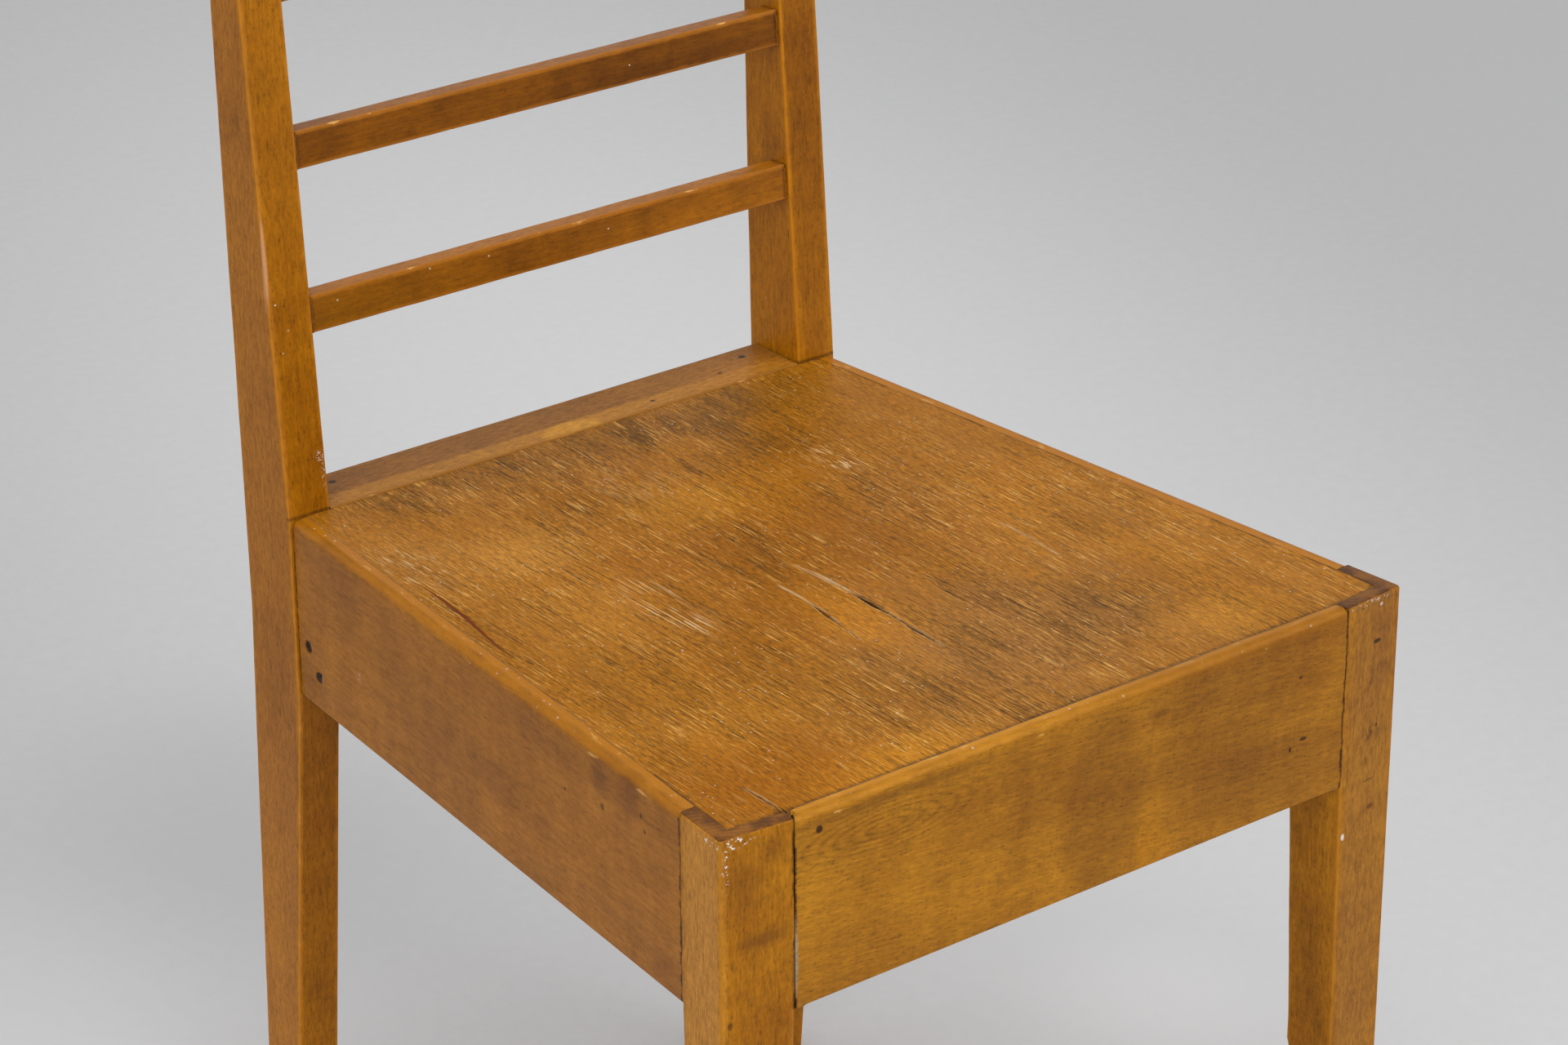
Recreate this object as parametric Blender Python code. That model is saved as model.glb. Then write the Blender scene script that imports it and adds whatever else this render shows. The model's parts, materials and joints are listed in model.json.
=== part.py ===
"""Wooden railway station chair: four legs, a splayed seat frame, a let-in seat panel and a slatted back.

Metres, +Z up. The chair faces -Y, and its origin is on the floor, at the middle of its box.
Inside the model Y is counted from the front line, the front face of the front apron.
"""

import math

import bmesh
import bpy
from mathutils import Matrix, Vector

# Seat
SEAT_HEIGHT = 0.460
SEAT_DEPTH = 0.404  # front line to the front faces of the rear posts
FRONT_WIDTH = 0.4177  # over the side faces, at the front line
REAR_WIDTH = 0.350  # over the outer faces of the rear posts
PANEL_THICKNESS = 0.008
FRONT_LIP = 0.0074  # wood left in front of the seat panel
SIDE_LIP = 0.009  # wood left beside the seat panel

# Aprons
APRON_HEIGHT = 0.0974
APRON_THICKNESS = 0.022
APRON_INSET = 0.0018  # outer face of a side apron inside the outer face of its post
APRON_TOP_ROUND = 0.0045
APRON_LOW_EASE = 0.001

# Rear cap, the board between the posts, level with the seat
CAP_WIDTH = 0.0375
CAP_THICKNESS = 0.022
CAP_RISE = 0.0006
CAP_SHELF = 0.012  # ledge under the rear edge of the seat panel
CAP_EASE = 0.001

# Front legs
LEG_WIDTH = 0.0389
LEG_DEPTH = 0.033
LEG_FOOT_WIDTH = 0.0325
LEG_FOOT_DEPTH = 0.0221
LEG_ROUND = 0.002

# Rear posts
POST_WIDTH = 0.0245
POST_DEPTH = 0.0418  # at the bend in the back face
POST_TOP_DEPTH = 0.0209
POST_FOOT_DEPTH = 0.0242
POST_FOOT_SETBACK = 0.0318  # front of the foot behind the front of the post
POST_TAPER_DROP = 0.010  # start of the lower taper, under the aprons
POST_BEND_DROP = 0.060  # bend in the back face, under the seat
POST_OVERRUN = 0.010  # post above the top slat
POST_ROUND = 0.0012
POST_TOP_ROUND = 0.003
BACK_RAKE = math.radians(4.38)

# Back slats
SLAT_NAMES = ("lower_back_slat", "second_back_slat", "third_back_slat", "top_back_slat")
SLAT_HEIGHT = 0.0197
SLAT_THICKNESS = 0.0123
SLAT_PITCH = 0.0847
SLAT_SETBACK = 0.0018  # behind the front faces of the posts
FIRST_SLAT_RISE = 0.0929  # above the seat
SLAT_ROUND = 0.0012

# Joints
TENON_THICKNESS = 0.009
TENON_LENGTH = 0.015
TENON_SHOULDER = 0.012
SLAT_TENON_THICKNESS = 0.0075
SLAT_TENON_HEIGHT = 0.013
SLAT_TENON_LENGTH = 0.014
TENON_ROOT = 0.004  # how far a tenon runs back into its own piece
GAP = 0.0003  # clearance between pieces that touch

# Corner blocks
BLOCK_REACH = 0.040
BLOCK_HEIGHT = 0.045
REAR_BLOCK_LIFT = 0.005  # above the lower edges of the aprons

# Nails and screws
NAIL_RADIUS = 0.0013
NAIL_HEAD_RADIUS = 0.0023
NAIL_HEAD_THICKNESS = 0.0012
NAIL_PUNCH = 0.0008  # head under the surface of the wood
NAIL_POINT = 0.004
APRON_NAIL_LENGTH = 0.031
APRON_NAIL_PLACES = {"upper": (0.0106, 0.0662), "lower": (0.0207, 0.0800)}  # ahead of the post, under the seat
CAP_NAIL_LENGTH = 0.040
CAP_NAIL_INSET = 0.0185  # from the inner face of the post
SCREW_RADIUS = 0.002
SCREW_HEAD_RADIUS = 0.004
SCREW_HEAD_DEPTH = 0.0025
SCREW_POINT = 0.005
SCREW_BITE = 0.012  # length of screw in the leg
SCREW_SPREAD = 0.020  # between the two screws of a block

# Facets
ROUND_STEPS = 4
EASE_STEPS = 2
TURNED_STEPS = 12
OVERSHOOT = 0.004  # how far a cutter stands out of the wood

# Places worked out from the sizes above
SPLAY = math.atan2(FRONT_WIDTH / 2 - REAR_WIDTH / 2 + APRON_INSET, SEAT_DEPTH)
APRON_BOTTOM = SEAT_HEIGHT - APRON_HEIGHT
REBATE_FLOOR = SEAT_HEIGHT - PANEL_THICKNESS - GAP
LEG_START = LEG_WIDTH * math.tan(SPLAY)
LEG_END = LEG_START + LEG_DEPTH
POST_OUTER = REAR_WIDTH / 2
POST_INNER = POST_OUTER - POST_WIDTH
CAP_BACK = SEAT_DEPTH + CAP_WIDTH
CAP_TOP = SEAT_HEIGHT + CAP_RISE
CAP_BOTTOM = CAP_TOP - CAP_THICKNESS
REAR_APRON_FRONT = CAP_BACK - APRON_THICKNESS
REAR_APRON_TOP = CAP_BOTTOM - GAP
BACK_HEIGHT = FIRST_SLAT_RISE + SLAT_PITCH * (len(SLAT_NAMES) - 1) + SLAT_HEIGHT + POST_OVERRUN
POST_TOP = SEAT_HEIGHT + BACK_HEIGHT
POST_TOP_FRONT = SEAT_DEPTH + BACK_HEIGHT * math.tan(BACK_RAKE)
OVERALL_DEPTH = max(SEAT_DEPTH + POST_FOOT_SETBACK + POST_FOOT_DEPTH, POST_TOP_FRONT + POST_TOP_DEPTH)
SIDES = {"left": -1, "right": 1}

for old in list(bpy.data.objects):
    bpy.data.objects.remove(old)

chair = bpy.data.objects.new("chair", None)
chair.location = (0, -OVERALL_DEPTH / 2, 0)
bpy.context.collection.objects.link(chair)


def make_material(name, colour, roughness, metallic=0.0):
    """Plain material with a linear colour."""
    material = bpy.data.materials.new(name)
    material.use_nodes = True
    shader = material.node_tree.nodes["Principled BSDF"]
    shader.inputs["Base Color"].default_value = (*colour, 1)
    shader.inputs["Roughness"].default_value = roughness
    shader.inputs["Metallic"].default_value = metallic
    return material


FRAME_WOOD = make_material("varnished_beech", (0.42, 0.17, 0.03), 0.42)
SEAT_WOOD = make_material("worn_plywood", (0.34, 0.13, 0.03), 0.55)
INNER_WOOD = make_material("bare_beech", (0.55, 0.36, 0.18), 0.8)
STEEL = make_material("dark_steel", (0.12, 0.11, 0.10), 0.5, 1.0)


def add_object(name, bm, material=None):
    """Makes a mesh object under the chair's empty from a bmesh."""
    bmesh.ops.recalc_face_normals(bm, faces=bm.faces)
    mesh = bpy.data.meshes.new(name)
    bm.to_mesh(mesh)
    bm.free()
    obj = bpy.data.objects.new(name, mesh)
    bpy.context.collection.objects.link(obj)
    obj.parent = chair
    if material:
        mesh.materials.append(material)
    return obj


def loft(*sections):
    """Closed solid through sections of the same number of points."""
    bm = bmesh.new()
    loops = []
    for section in sections:
        verts = [bm.verts.new(point) for point in section]
        loops.append([bm.edges.new(pair) for pair in zip(verts, verts[1:] + verts[:1])])
    for near, far in zip(loops, loops[1:]):
        bmesh.ops.bridge_loops(bm, edges=near + far)
    for end in (loops[0], loops[-1]):
        bmesh.ops.contextual_create(bm, geom=end)
    return bm


def box(low, high, frame=Matrix()):
    """Box between two corners of a frame."""
    low, high = Vector(low), Vector(high)
    size = Matrix.Diagonal((*(high - low), 1))
    bm = bmesh.new()
    bmesh.ops.create_cube(bm, size=1, matrix=frame @ Matrix.Translation((low + high) / 2) @ size)
    return bm


def grown(low, high):
    """Corners of a mortise round the corners of its tenon."""
    clearance = Vector((GAP, GAP, GAP))
    return Vector(low) - clearance, Vector(high) + clearance


def turned(profile, frame):
    """Round solid from (radius, height) points, from the top of its axis to the bottom."""
    bm = bmesh.new()
    verts = [bm.verts.new((radius, 0, height)) for radius, height in profile]
    edges = [bm.edges.new(pair) for pair in zip(verts, verts[1:])]
    bmesh.ops.spin(bm, geom=verts + edges, axis=(0, 0, 1), angle=math.tau, steps=TURNED_STEPS, use_merge=True)
    bmesh.ops.remove_doubles(bm, verts=bm.verts, dist=0.00001)
    bmesh.ops.transform(bm, matrix=frame, verts=bm.verts)
    return bm


def ease(bm, width, steps, wanted):
    """Rounds the edges whose two ends pass a test."""
    edges = [edge for edge in bm.edges if wanted(edge.verts[0].co, edge.verts[1].co)]
    bmesh.ops.bevel(bm, geom=edges, offset=width, segments=steps, profile=0.5, affect="EDGES")


def combine(obj, operation, *tools):
    """Joins solids to an object, or cuts them out of it."""
    whole = bmesh.new()
    for tool in tools:
        bmesh.ops.recalc_face_normals(tool, faces=tool.faces)
        part = bpy.data.meshes.new("tool")
        tool.to_mesh(part)
        tool.free()
        whole.from_mesh(part)
        bpy.data.meshes.remove(part)
    cutter = add_object(f"{operation.lower()}_{obj.name}", whole)
    cutter.hide_render = True
    cutter.display_type = "WIRE"
    modifier = obj.modifiers.new(cutter.name, "BOOLEAN")
    modifier.operation = operation
    modifier.solver = "EXACT"
    modifier.object = cutter


def side_point(side, along, inward, height):
    """Point along the outer face of a splayed side, and inward from that face."""
    x = FRONT_WIDTH / 2 - along * math.sin(SPLAY) - inward * math.cos(SPLAY)
    y = along * math.cos(SPLAY) - inward * math.sin(SPLAY)
    return Vector((side * x, y, height))


def along_at(y, inward):
    """Distance along a side at which it reaches a given Y."""
    return (y + inward * math.sin(SPLAY)) / math.cos(SPLAY)


def side_reaching(side, y, inward, height):
    """Point of a side at a given Y."""
    return side_point(side, along_at(y, inward), inward, height)


def side_frame(side):
    """Frame of a side: X inward, Y along it to the rear, Z up."""
    start = side_point(side, 0, 0, 0)
    inward = side_point(side, 0, 1, 0) - start
    along = side_point(side, 1, 0, 0) - start
    columns = Matrix((inward, along, Vector((0, 0, 1)))).transposed()
    return Matrix.Translation(start) @ columns.to_4x4()


def facing(point, outward):
    """Frame at a point, with its Z axis along a direction."""
    turn = Vector(outward).to_track_quat("Z", "Y").to_matrix().to_4x4()
    return Matrix.Translation(point) @ turn


def side_apron_tenons(side):
    """Tenon boxes of a side apron: into the front leg, and into the rear post."""
    middle = APRON_THICKNESS / 2
    low, high = APRON_BOTTOM + TENON_SHOULDER, REBATE_FLOOR - TENON_SHOULDER
    half = TENON_THICKNESS / 2
    front = ((middle - half, LEG_END - TENON_LENGTH, low), (middle + half, LEG_END + TENON_ROOT, high))
    centre = side_reaching(side, SEAT_DEPTH, middle, 0).x
    rear = ((centre - half, SEAT_DEPTH - TENON_ROOT, low), (centre + half, SEAT_DEPTH + TENON_LENGTH, high))
    return front, rear


def front_apron_tenon(side):
    """Tenon box of the front apron into a front leg."""
    middle = APRON_THICKNESS / 2
    shoulder = abs(side_reaching(1, middle, LEG_WIDTH, 0).x)
    ends = sorted((side * (shoulder - TENON_ROOT), side * (shoulder + TENON_LENGTH)))
    low = (ends[0], middle - TENON_THICKNESS / 2, APRON_BOTTOM + TENON_SHOULDER)
    high = (ends[1], middle + TENON_THICKNESS / 2, REBATE_FLOOR - TENON_SHOULDER)
    return low, high


def rear_apron_tenon(side):
    """Tenon box of the rear apron into a rear post."""
    middle = REAR_APRON_FRONT + APRON_THICKNESS / 2
    ends = sorted((side * (POST_INNER - TENON_ROOT), side * (POST_INNER + TENON_LENGTH)))
    low = (ends[0], middle - TENON_THICKNESS / 2, APRON_BOTTOM + TENON_SHOULDER)
    high = (ends[1], middle + TENON_THICKNESS / 2, REAR_APRON_TOP - TENON_SHOULDER)
    return low, high


def slat_frame(index):
    """Frame on the lower front edge of a slat: Y through the slat, Z up along its face."""
    rise = FIRST_SLAT_RISE + SLAT_PITCH * index
    y = SEAT_DEPTH + rise * math.tan(BACK_RAKE) + SLAT_SETBACK / math.cos(BACK_RAKE)
    return Matrix.Translation((0, y, SEAT_HEIGHT + rise)) @ Matrix.Rotation(-BACK_RAKE, 4, "X")


def slat_tenon(side):
    """Tenon box of a slat into a post, in the slat's frame."""
    ends = sorted((side * (POST_INNER - TENON_ROOT), side * (POST_INNER + SLAT_TENON_LENGTH)))
    y_margin = (SLAT_THICKNESS - SLAT_TENON_THICKNESS) / 2
    z_margin = (SLAT_HEIGHT - SLAT_TENON_HEIGHT) / 2
    low = (ends[0], y_margin, z_margin)
    high = (ends[1], y_margin + SLAT_TENON_THICKNESS, z_margin + SLAT_TENON_HEIGHT)
    return low, high


def nail_profile(length, grow=0.0, stand_out=0.0):
    """Profile of a nail, or of its hole when it is grown and stands out of the wood."""
    neck = -NAIL_HEAD_THICKNESS - grow
    return [
        (0, stand_out),
        (NAIL_HEAD_RADIUS + grow, stand_out),
        (NAIL_HEAD_RADIUS + grow, neck),
        (NAIL_RADIUS + grow, neck),
        (NAIL_RADIUS + grow, NAIL_POINT - length),
        (0, -length - grow),
    ]


def nail_hole(length, frame):
    """Cutter for a nail and the dent over its head."""
    return turned(nail_profile(length, GAP, OVERSHOOT), frame)


def screw_profile(length, grow=0.0, stand_out=0.0):
    """Profile of a countersunk wood screw, or of its hole."""
    return [
        (0, stand_out),
        (SCREW_HEAD_RADIUS + grow, stand_out),
        (SCREW_HEAD_RADIUS + grow, 0),
        (SCREW_RADIUS + grow, -SCREW_HEAD_DEPTH),
        (SCREW_RADIUS + grow, SCREW_POINT - length),
        (0, -length - grow),
    ]


def apron_nail_frame(side, ahead, drop):
    """Frame of a nail driven through a side apron, close to the post."""
    surface = side_reaching(side, SEAT_DEPTH - ahead, 0, SEAT_HEIGHT - drop)
    inward = side_frame(side).to_3x3() @ Vector((1, 0, 0))
    return facing(surface + inward * NAIL_PUNCH, -inward)


def cap_nail_frame(side):
    """Frame of a nail driven down through the rear cap into the rear apron."""
    place = (side * (POST_INNER - CAP_NAIL_INSET), REAR_APRON_FRONT + APRON_THICKNESS / 2, CAP_TOP - NAIL_PUNCH)
    return facing(place, (0, 0, 1))


def front_block_outline(side):
    """Plan of a front corner block, notched round the inner corner of the leg."""
    behind = APRON_THICKNESS + GAP
    beside_leg = LEG_WIDTH + GAP
    corner = side_reaching(side, behind, beside_leg, 0)
    return [
        corner - Vector((side * BLOCK_REACH, 0, 0)),
        corner,
        side_point(side, LEG_END + GAP, beside_leg, 0),
        side_point(side, LEG_END + GAP, behind, 0),
        side_point(side, LEG_END + BLOCK_REACH, behind, 0),
    ]


def rear_block_outline(side):
    """Plan of a rear corner block, notched round the inner corner of the post."""
    beside = APRON_THICKNESS + GAP
    ahead = SEAT_DEPTH - GAP
    return [
        Vector((side * (POST_INNER - BLOCK_REACH), REAR_APRON_FRONT - GAP, 0)),
        Vector((side * (POST_INNER - GAP), REAR_APRON_FRONT - GAP, 0)),
        Vector((side * (POST_INNER - GAP), ahead, 0)),
        side_reaching(side, ahead, beside, 0),
        side_reaching(side, SEAT_DEPTH - BLOCK_REACH, beside, 0),
    ]


def block_screw_frames(side):
    """Frames of the two screws of a front corner block, and their length."""
    outline = front_block_outline(side)
    face_middle = (outline[0] + outline[4]) / 2
    into_leg = outline[2] - face_middle
    low = REBATE_FLOOR - BLOCK_HEIGHT / 2 - SCREW_SPREAD / 2
    heights = {"lower": low, "upper": low + SCREW_SPREAD}
    frames = {
        name: facing(face_middle + Vector((0, 0, z)) + into_leg.normalized() * GAP, -into_leg)
        for name, z in heights.items()
    }
    return frames, into_leg.length + SCREW_BITE


def lifted(outline, height):
    """Outline moved up to a height."""
    return [Vector((point.x, point.y, height)) for point in outline]


def apron_section(lip):
    """Section of an apron as (inward, height) points, with its rebate and rounded outer edges."""
    arc = [
        (
            APRON_TOP_ROUND * (1 - math.cos(math.pi / 2 * step / ROUND_STEPS)),
            SEAT_HEIGHT - APRON_TOP_ROUND * (1 - math.sin(math.pi / 2 * step / ROUND_STEPS)),
        )
        for step in range(ROUND_STEPS + 1)
    ]
    inner = [
        (lip, SEAT_HEIGHT),
        (lip, REBATE_FLOOR),
        (APRON_THICKNESS, REBATE_FLOOR),
        (APRON_THICKNESS, APRON_BOTTOM),
    ]
    return arc + inner + [(APRON_LOW_EASE, APRON_BOTTOM), (0, APRON_BOTTOM + APRON_LOW_EASE)]


def make_front_leg(label, side):
    """Front leg, tapered on its two inner faces, with its top cut away for the seat panel."""
    front, outer = LEG_START, 0

    def section(width, depth, height):
        corners = ((front, outer), (front, width), (front + depth, width), (front + depth, outer))
        return [side_point(side, along, inward, height) for along, inward in corners]

    bm = loft(
        section(LEG_FOOT_WIDTH, LEG_FOOT_DEPTH, 0),
        section(LEG_WIDTH, LEG_DEPTH, APRON_BOTTOM),
        section(LEG_WIDTH, LEG_DEPTH, SEAT_HEIGHT),
    )
    arris = side_point(side, front, outer, 0).xy
    ease(bm, LEG_ROUND, EASE_STEPS, lambda a, b: (a.xy - arris).length < GAP and (b.xy - arris).length < GAP)
    leg = add_object(f"{label}_front_leg", bm, FRAME_WOOD)
    frame = side_frame(side)
    notch_low = (SIDE_LIP, LEG_START + FRONT_LIP, REBATE_FLOOR)
    notch_high = (LEG_WIDTH + OVERSHOOT, LEG_END + OVERSHOOT, SEAT_HEIGHT + OVERSHOOT)
    combine(
        leg,
        "DIFFERENCE",
        box(notch_low, notch_high, frame),
        box(*grown(*side_apron_tenons(side)[0]), frame),
        box(*grown(*front_apron_tenon(side))),
        *block_screw_holes(side),
    )


def block_screw_holes(side):
    """Cutters for the two screws of a front corner block."""
    frames, length = block_screw_frames(side)
    return [turned(screw_profile(length, GAP, OVERSHOOT), frame) for frame in frames.values()]


def make_rear_post(label, side):
    """Rear leg and back stile in one piece."""
    profile = [
        (SEAT_DEPTH + POST_FOOT_SETBACK, 0),
        (SEAT_DEPTH, APRON_BOTTOM - POST_TAPER_DROP),
        (SEAT_DEPTH, SEAT_HEIGHT),
        (POST_TOP_FRONT, POST_TOP),
        (POST_TOP_FRONT + POST_TOP_DEPTH, POST_TOP),
        (SEAT_DEPTH + POST_DEPTH, SEAT_HEIGHT - POST_BEND_DROP),
        (SEAT_DEPTH + POST_FOOT_SETBACK + POST_FOOT_DEPTH, 0),
    ]
    bm = loft(*([(side * x, y, z) for y, z in profile] for x in (POST_INNER, POST_OUTER)))
    ease(bm, POST_TOP_ROUND, EASE_STEPS, lambda a, b: min(a.z, b.z) > POST_TOP - GAP)
    ease(bm, POST_ROUND, EASE_STEPS, lambda a, b: abs(a.x - b.x) < GAP and abs(a.z - b.z) > POST_TAPER_DROP)
    post = add_object(f"{label}_rear_post", bm, FRAME_WOOD)
    combine(
        post,
        "DIFFERENCE",
        box(*grown(*side_apron_tenons(side)[1])),
        box(*grown(*rear_apron_tenon(side))),
        *(box(*grown(*slat_tenon(side)), slat_frame(index)) for index in range(len(SLAT_NAMES))),
    )


def make_front_apron():
    """Front apron, its ends cut to the turned inner faces of the front legs."""
    section = apron_section(FRONT_LIP)
    ends = [
        [side_reaching(side, y, LEG_WIDTH + GAP, z) for y, z in section]
        for side in SIDES.values()
    ]
    apron = add_object("front_apron", loft(*ends), FRAME_WOOD)
    combine(apron, "UNION", *(box(*front_apron_tenon(side)) for side in SIDES.values()))


def make_side_apron(label, side):
    """Side apron between the front leg and the rear post."""
    section = apron_section(SIDE_LIP)
    bm = loft(
        [side_point(side, LEG_END + GAP, inward, z) for inward, z in section],
        [side_reaching(side, SEAT_DEPTH - GAP, inward, z) for inward, z in section],
    )
    apron = add_object(f"{label}_apron", bm, FRAME_WOOD)
    front, rear = side_apron_tenons(side)
    combine(apron, "UNION", box(*front, side_frame(side)), box(*rear))
    holes = [
        nail_hole(APRON_NAIL_LENGTH, apron_nail_frame(side, *place))
        for place in APRON_NAIL_PLACES.values()
    ]
    combine(apron, "DIFFERENCE", *holes)


def make_rear_apron():
    """Rear apron under the rear cap."""
    end = POST_INNER - GAP
    bm = box((-end, REAR_APRON_FRONT, APRON_BOTTOM), (end, CAP_BACK, REAR_APRON_TOP))
    apron = add_object("rear_apron", bm, FRAME_WOOD)
    combine(apron, "UNION", *(box(*rear_apron_tenon(side)) for side in SIDES.values()))
    combine(apron, "DIFFERENCE", *cap_nail_holes())


def cap_nail_holes():
    """Cutters for the two nails of the rear cap."""
    return [nail_hole(CAP_NAIL_LENGTH, cap_nail_frame(side)) for side in SIDES.values()]


def make_rear_cap():
    """Board between the posts, with a ledge that carries the rear edge of the seat panel."""
    end = POST_INNER - GAP
    bm = box((-end, SEAT_DEPTH, CAP_BOTTOM), (end, CAP_BACK, CAP_TOP))
    ease(bm, CAP_EASE, EASE_STEPS, lambda a, b: min(a.z, b.z) > CAP_TOP - GAP and abs(a.y - b.y) < GAP)
    cap = add_object("rear_cap", bm, FRAME_WOOD)
    ledge = min(end, side_reaching(1, SEAT_DEPTH, APRON_THICKNESS + GAP, 0).x)
    low = (-ledge, SEAT_DEPTH - CAP_SHELF, CAP_BOTTOM)
    combine(cap, "UNION", box(low, (ledge, SEAT_DEPTH + TENON_ROOT, REBATE_FLOOR)))
    combine(cap, "DIFFERENCE", *cap_nail_holes())


def make_seat_panel():
    """Plywood panel, let into the aprons, the front leg tops and the ledge of the rear cap."""
    front = FRONT_LIP + GAP
    beside = SIDE_LIP + GAP
    bend = LEG_WIDTH - front * math.tan(SPLAY / 2)

    def half(side, height):
        return [
            side_point(side, LEG_START + front, bend, height),
            side_point(side, LEG_START + front, beside, height),
            side_reaching(side, SEAT_DEPTH - GAP, beside, height),
        ]

    outlines = [half(1, z) + half(-1, z)[::-1] for z in (SEAT_HEIGHT - PANEL_THICKNESS, SEAT_HEIGHT)]
    add_object("seat_panel", loft(*outlines), SEAT_WOOD)


def make_slat(index, name):
    """Back slat with a tenon at each end."""
    frame = slat_frame(index)
    end = POST_INNER - GAP
    bm = box((-end, 0, 0), (end, SLAT_THICKNESS, SLAT_HEIGHT), frame)
    ease(bm, SLAT_ROUND, EASE_STEPS, lambda a, b: abs(a.x - b.x) > end)
    slat = add_object(name, bm, FRAME_WOOD)
    combine(slat, "UNION", *(box(*slat_tenon(side), frame) for side in SIDES.values()))


def make_corner_blocks(label, side):
    """Front and rear corner blocks of one side, with the screws of the front one."""
    top = REBATE_FLOOR
    outline = front_block_outline(side)
    bm = loft(lifted(outline, top - BLOCK_HEIGHT), lifted(outline, top))
    block = add_object(f"front_{label}_corner_block", bm, INNER_WOOD)
    combine(block, "DIFFERENCE", *block_screw_holes(side))
    frames, length = block_screw_frames(side)
    for level, frame in frames.items():
        name = f"front_{label}_block_{level}_screw"
        add_object(name, turned(screw_profile(length), frame), STEEL)

    bottom = APRON_BOTTOM + REAR_BLOCK_LIFT
    outline = rear_block_outline(side)
    bm = loft(lifted(outline, bottom), lifted(outline, bottom + BLOCK_HEIGHT))
    block = add_object(f"rear_{label}_corner_block", bm, INNER_WOOD)
    holes = [
        nail_hole(APRON_NAIL_LENGTH, apron_nail_frame(side, *place))
        for place in APRON_NAIL_PLACES.values()
    ]
    combine(block, "DIFFERENCE", *holes)


def make_nails(label, side):
    """Nails of one side: two through the side apron, one through the rear cap."""
    for level, place in APRON_NAIL_PLACES.items():
        nail = turned(nail_profile(APRON_NAIL_LENGTH), apron_nail_frame(side, *place))
        add_object(f"{label}_apron_{level}_nail", nail, STEEL)
    add_object(f"{label}_cap_nail", turned(nail_profile(CAP_NAIL_LENGTH), cap_nail_frame(side)), STEEL)


for side_label, side_sign in SIDES.items():
    make_front_leg(side_label, side_sign)
    make_rear_post(side_label, side_sign)
    make_side_apron(side_label, side_sign)
    make_corner_blocks(side_label, side_sign)
    make_nails(side_label, side_sign)
make_front_apron()
make_rear_apron()
make_rear_cap()
make_seat_panel()
for slat_index, slat_name in enumerate(SLAT_NAMES):
    make_slat(slat_index, slat_name)
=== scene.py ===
"""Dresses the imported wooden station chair: worn varnished beech and a split plywood seat.

Metres, +Z up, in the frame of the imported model. The chair faces -Y.
"""

from __future__ import annotations

import json
import logging
import math
from dataclasses import dataclass
from enum import Enum
from typing import Callable, Iterable, Mapping, Optional, Sequence, Union

import bmesh
import bpy
from mathutils import Matrix, Vector, noise
from mathutils.geometry import intersect_point_line

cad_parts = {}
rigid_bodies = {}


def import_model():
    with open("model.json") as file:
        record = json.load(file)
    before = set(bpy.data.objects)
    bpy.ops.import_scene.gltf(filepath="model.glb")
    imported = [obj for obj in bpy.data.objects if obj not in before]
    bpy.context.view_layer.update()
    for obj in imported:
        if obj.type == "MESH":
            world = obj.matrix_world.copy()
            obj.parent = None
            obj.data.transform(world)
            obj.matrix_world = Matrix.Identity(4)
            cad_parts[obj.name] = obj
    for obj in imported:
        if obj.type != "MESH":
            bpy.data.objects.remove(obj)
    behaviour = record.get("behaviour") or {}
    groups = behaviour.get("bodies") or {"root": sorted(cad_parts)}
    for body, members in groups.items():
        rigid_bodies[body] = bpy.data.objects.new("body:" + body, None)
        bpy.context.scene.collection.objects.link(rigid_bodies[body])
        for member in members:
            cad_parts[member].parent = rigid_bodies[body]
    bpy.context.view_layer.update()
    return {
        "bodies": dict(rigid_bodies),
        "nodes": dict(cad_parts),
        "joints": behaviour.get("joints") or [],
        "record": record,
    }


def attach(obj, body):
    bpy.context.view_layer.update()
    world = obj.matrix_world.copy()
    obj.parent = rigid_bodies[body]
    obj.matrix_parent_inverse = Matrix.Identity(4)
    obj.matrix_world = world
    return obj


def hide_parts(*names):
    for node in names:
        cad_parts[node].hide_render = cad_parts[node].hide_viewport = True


log = logging.getLogger("chair")

Triple = tuple[float, float, float]
Colour = Triple
Corner = tuple[float, float]
Line = tuple[Vector, Vector]
Solid = bmesh.types.BMesh
Face = bmesh.types.BMFace
Edge = bmesh.types.BMEdge
Piece = bpy.types.Object
Material = bpy.types.Material
Test = Callable[[Vector], bool]
EdgeTest = Callable[[Vector, Vector], bool]
Settings = Optional[Mapping[str, object]]
Inputs = Optional[Mapping[Union[str, int], object]]

SIDES: dict[str, int] = {"left": -1, "right": 1}
ACROSS: Triple = (1, 0, 0)
BACKWARD: Triple = (0, 1, 0)
UP: Triple = (0, 0, 1)
SHARP = math.radians(35.0)
SHADED_SHARP = math.radians(42.0)
NEARLY_FLAT = math.radians(0.3)
CUT_SNAP = 1e-6


def tone(red: int, green: int, blue: int) -> Colour:
    """Linear colour of a screen colour.

    Args:
        red: Red part, 0 to 255.
        green: Green part, 0 to 255.
        blue: Blue part, 0 to 255.

    Returns:
        The three parts as linear numbers.
    """

    def linear(part: int) -> float:
        """One part as a linear number."""
        share = part / 255
        return share / 12.92 if share <= 0.04045 else ((share + 0.055) / 1.055) ** 2.4

    return linear(red), linear(green), linear(blue)


class Grain(Enum):
    """Axis that the grain of a piece runs along, as the turn that brings it to X."""

    ALONG_X = (0.0, 0.0, 0.0)
    ALONG_Y = (0.0, 0.0, -math.pi / 2)
    ALONG_Z = (0.0, math.pi / 2, 0.0)


class Slot(Enum):
    """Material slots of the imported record."""

    FRAME = "frame_wood"
    SEAT = "seat_plywood"
    INNER = "inner_wood"
    STEEL = "steel"


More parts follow.
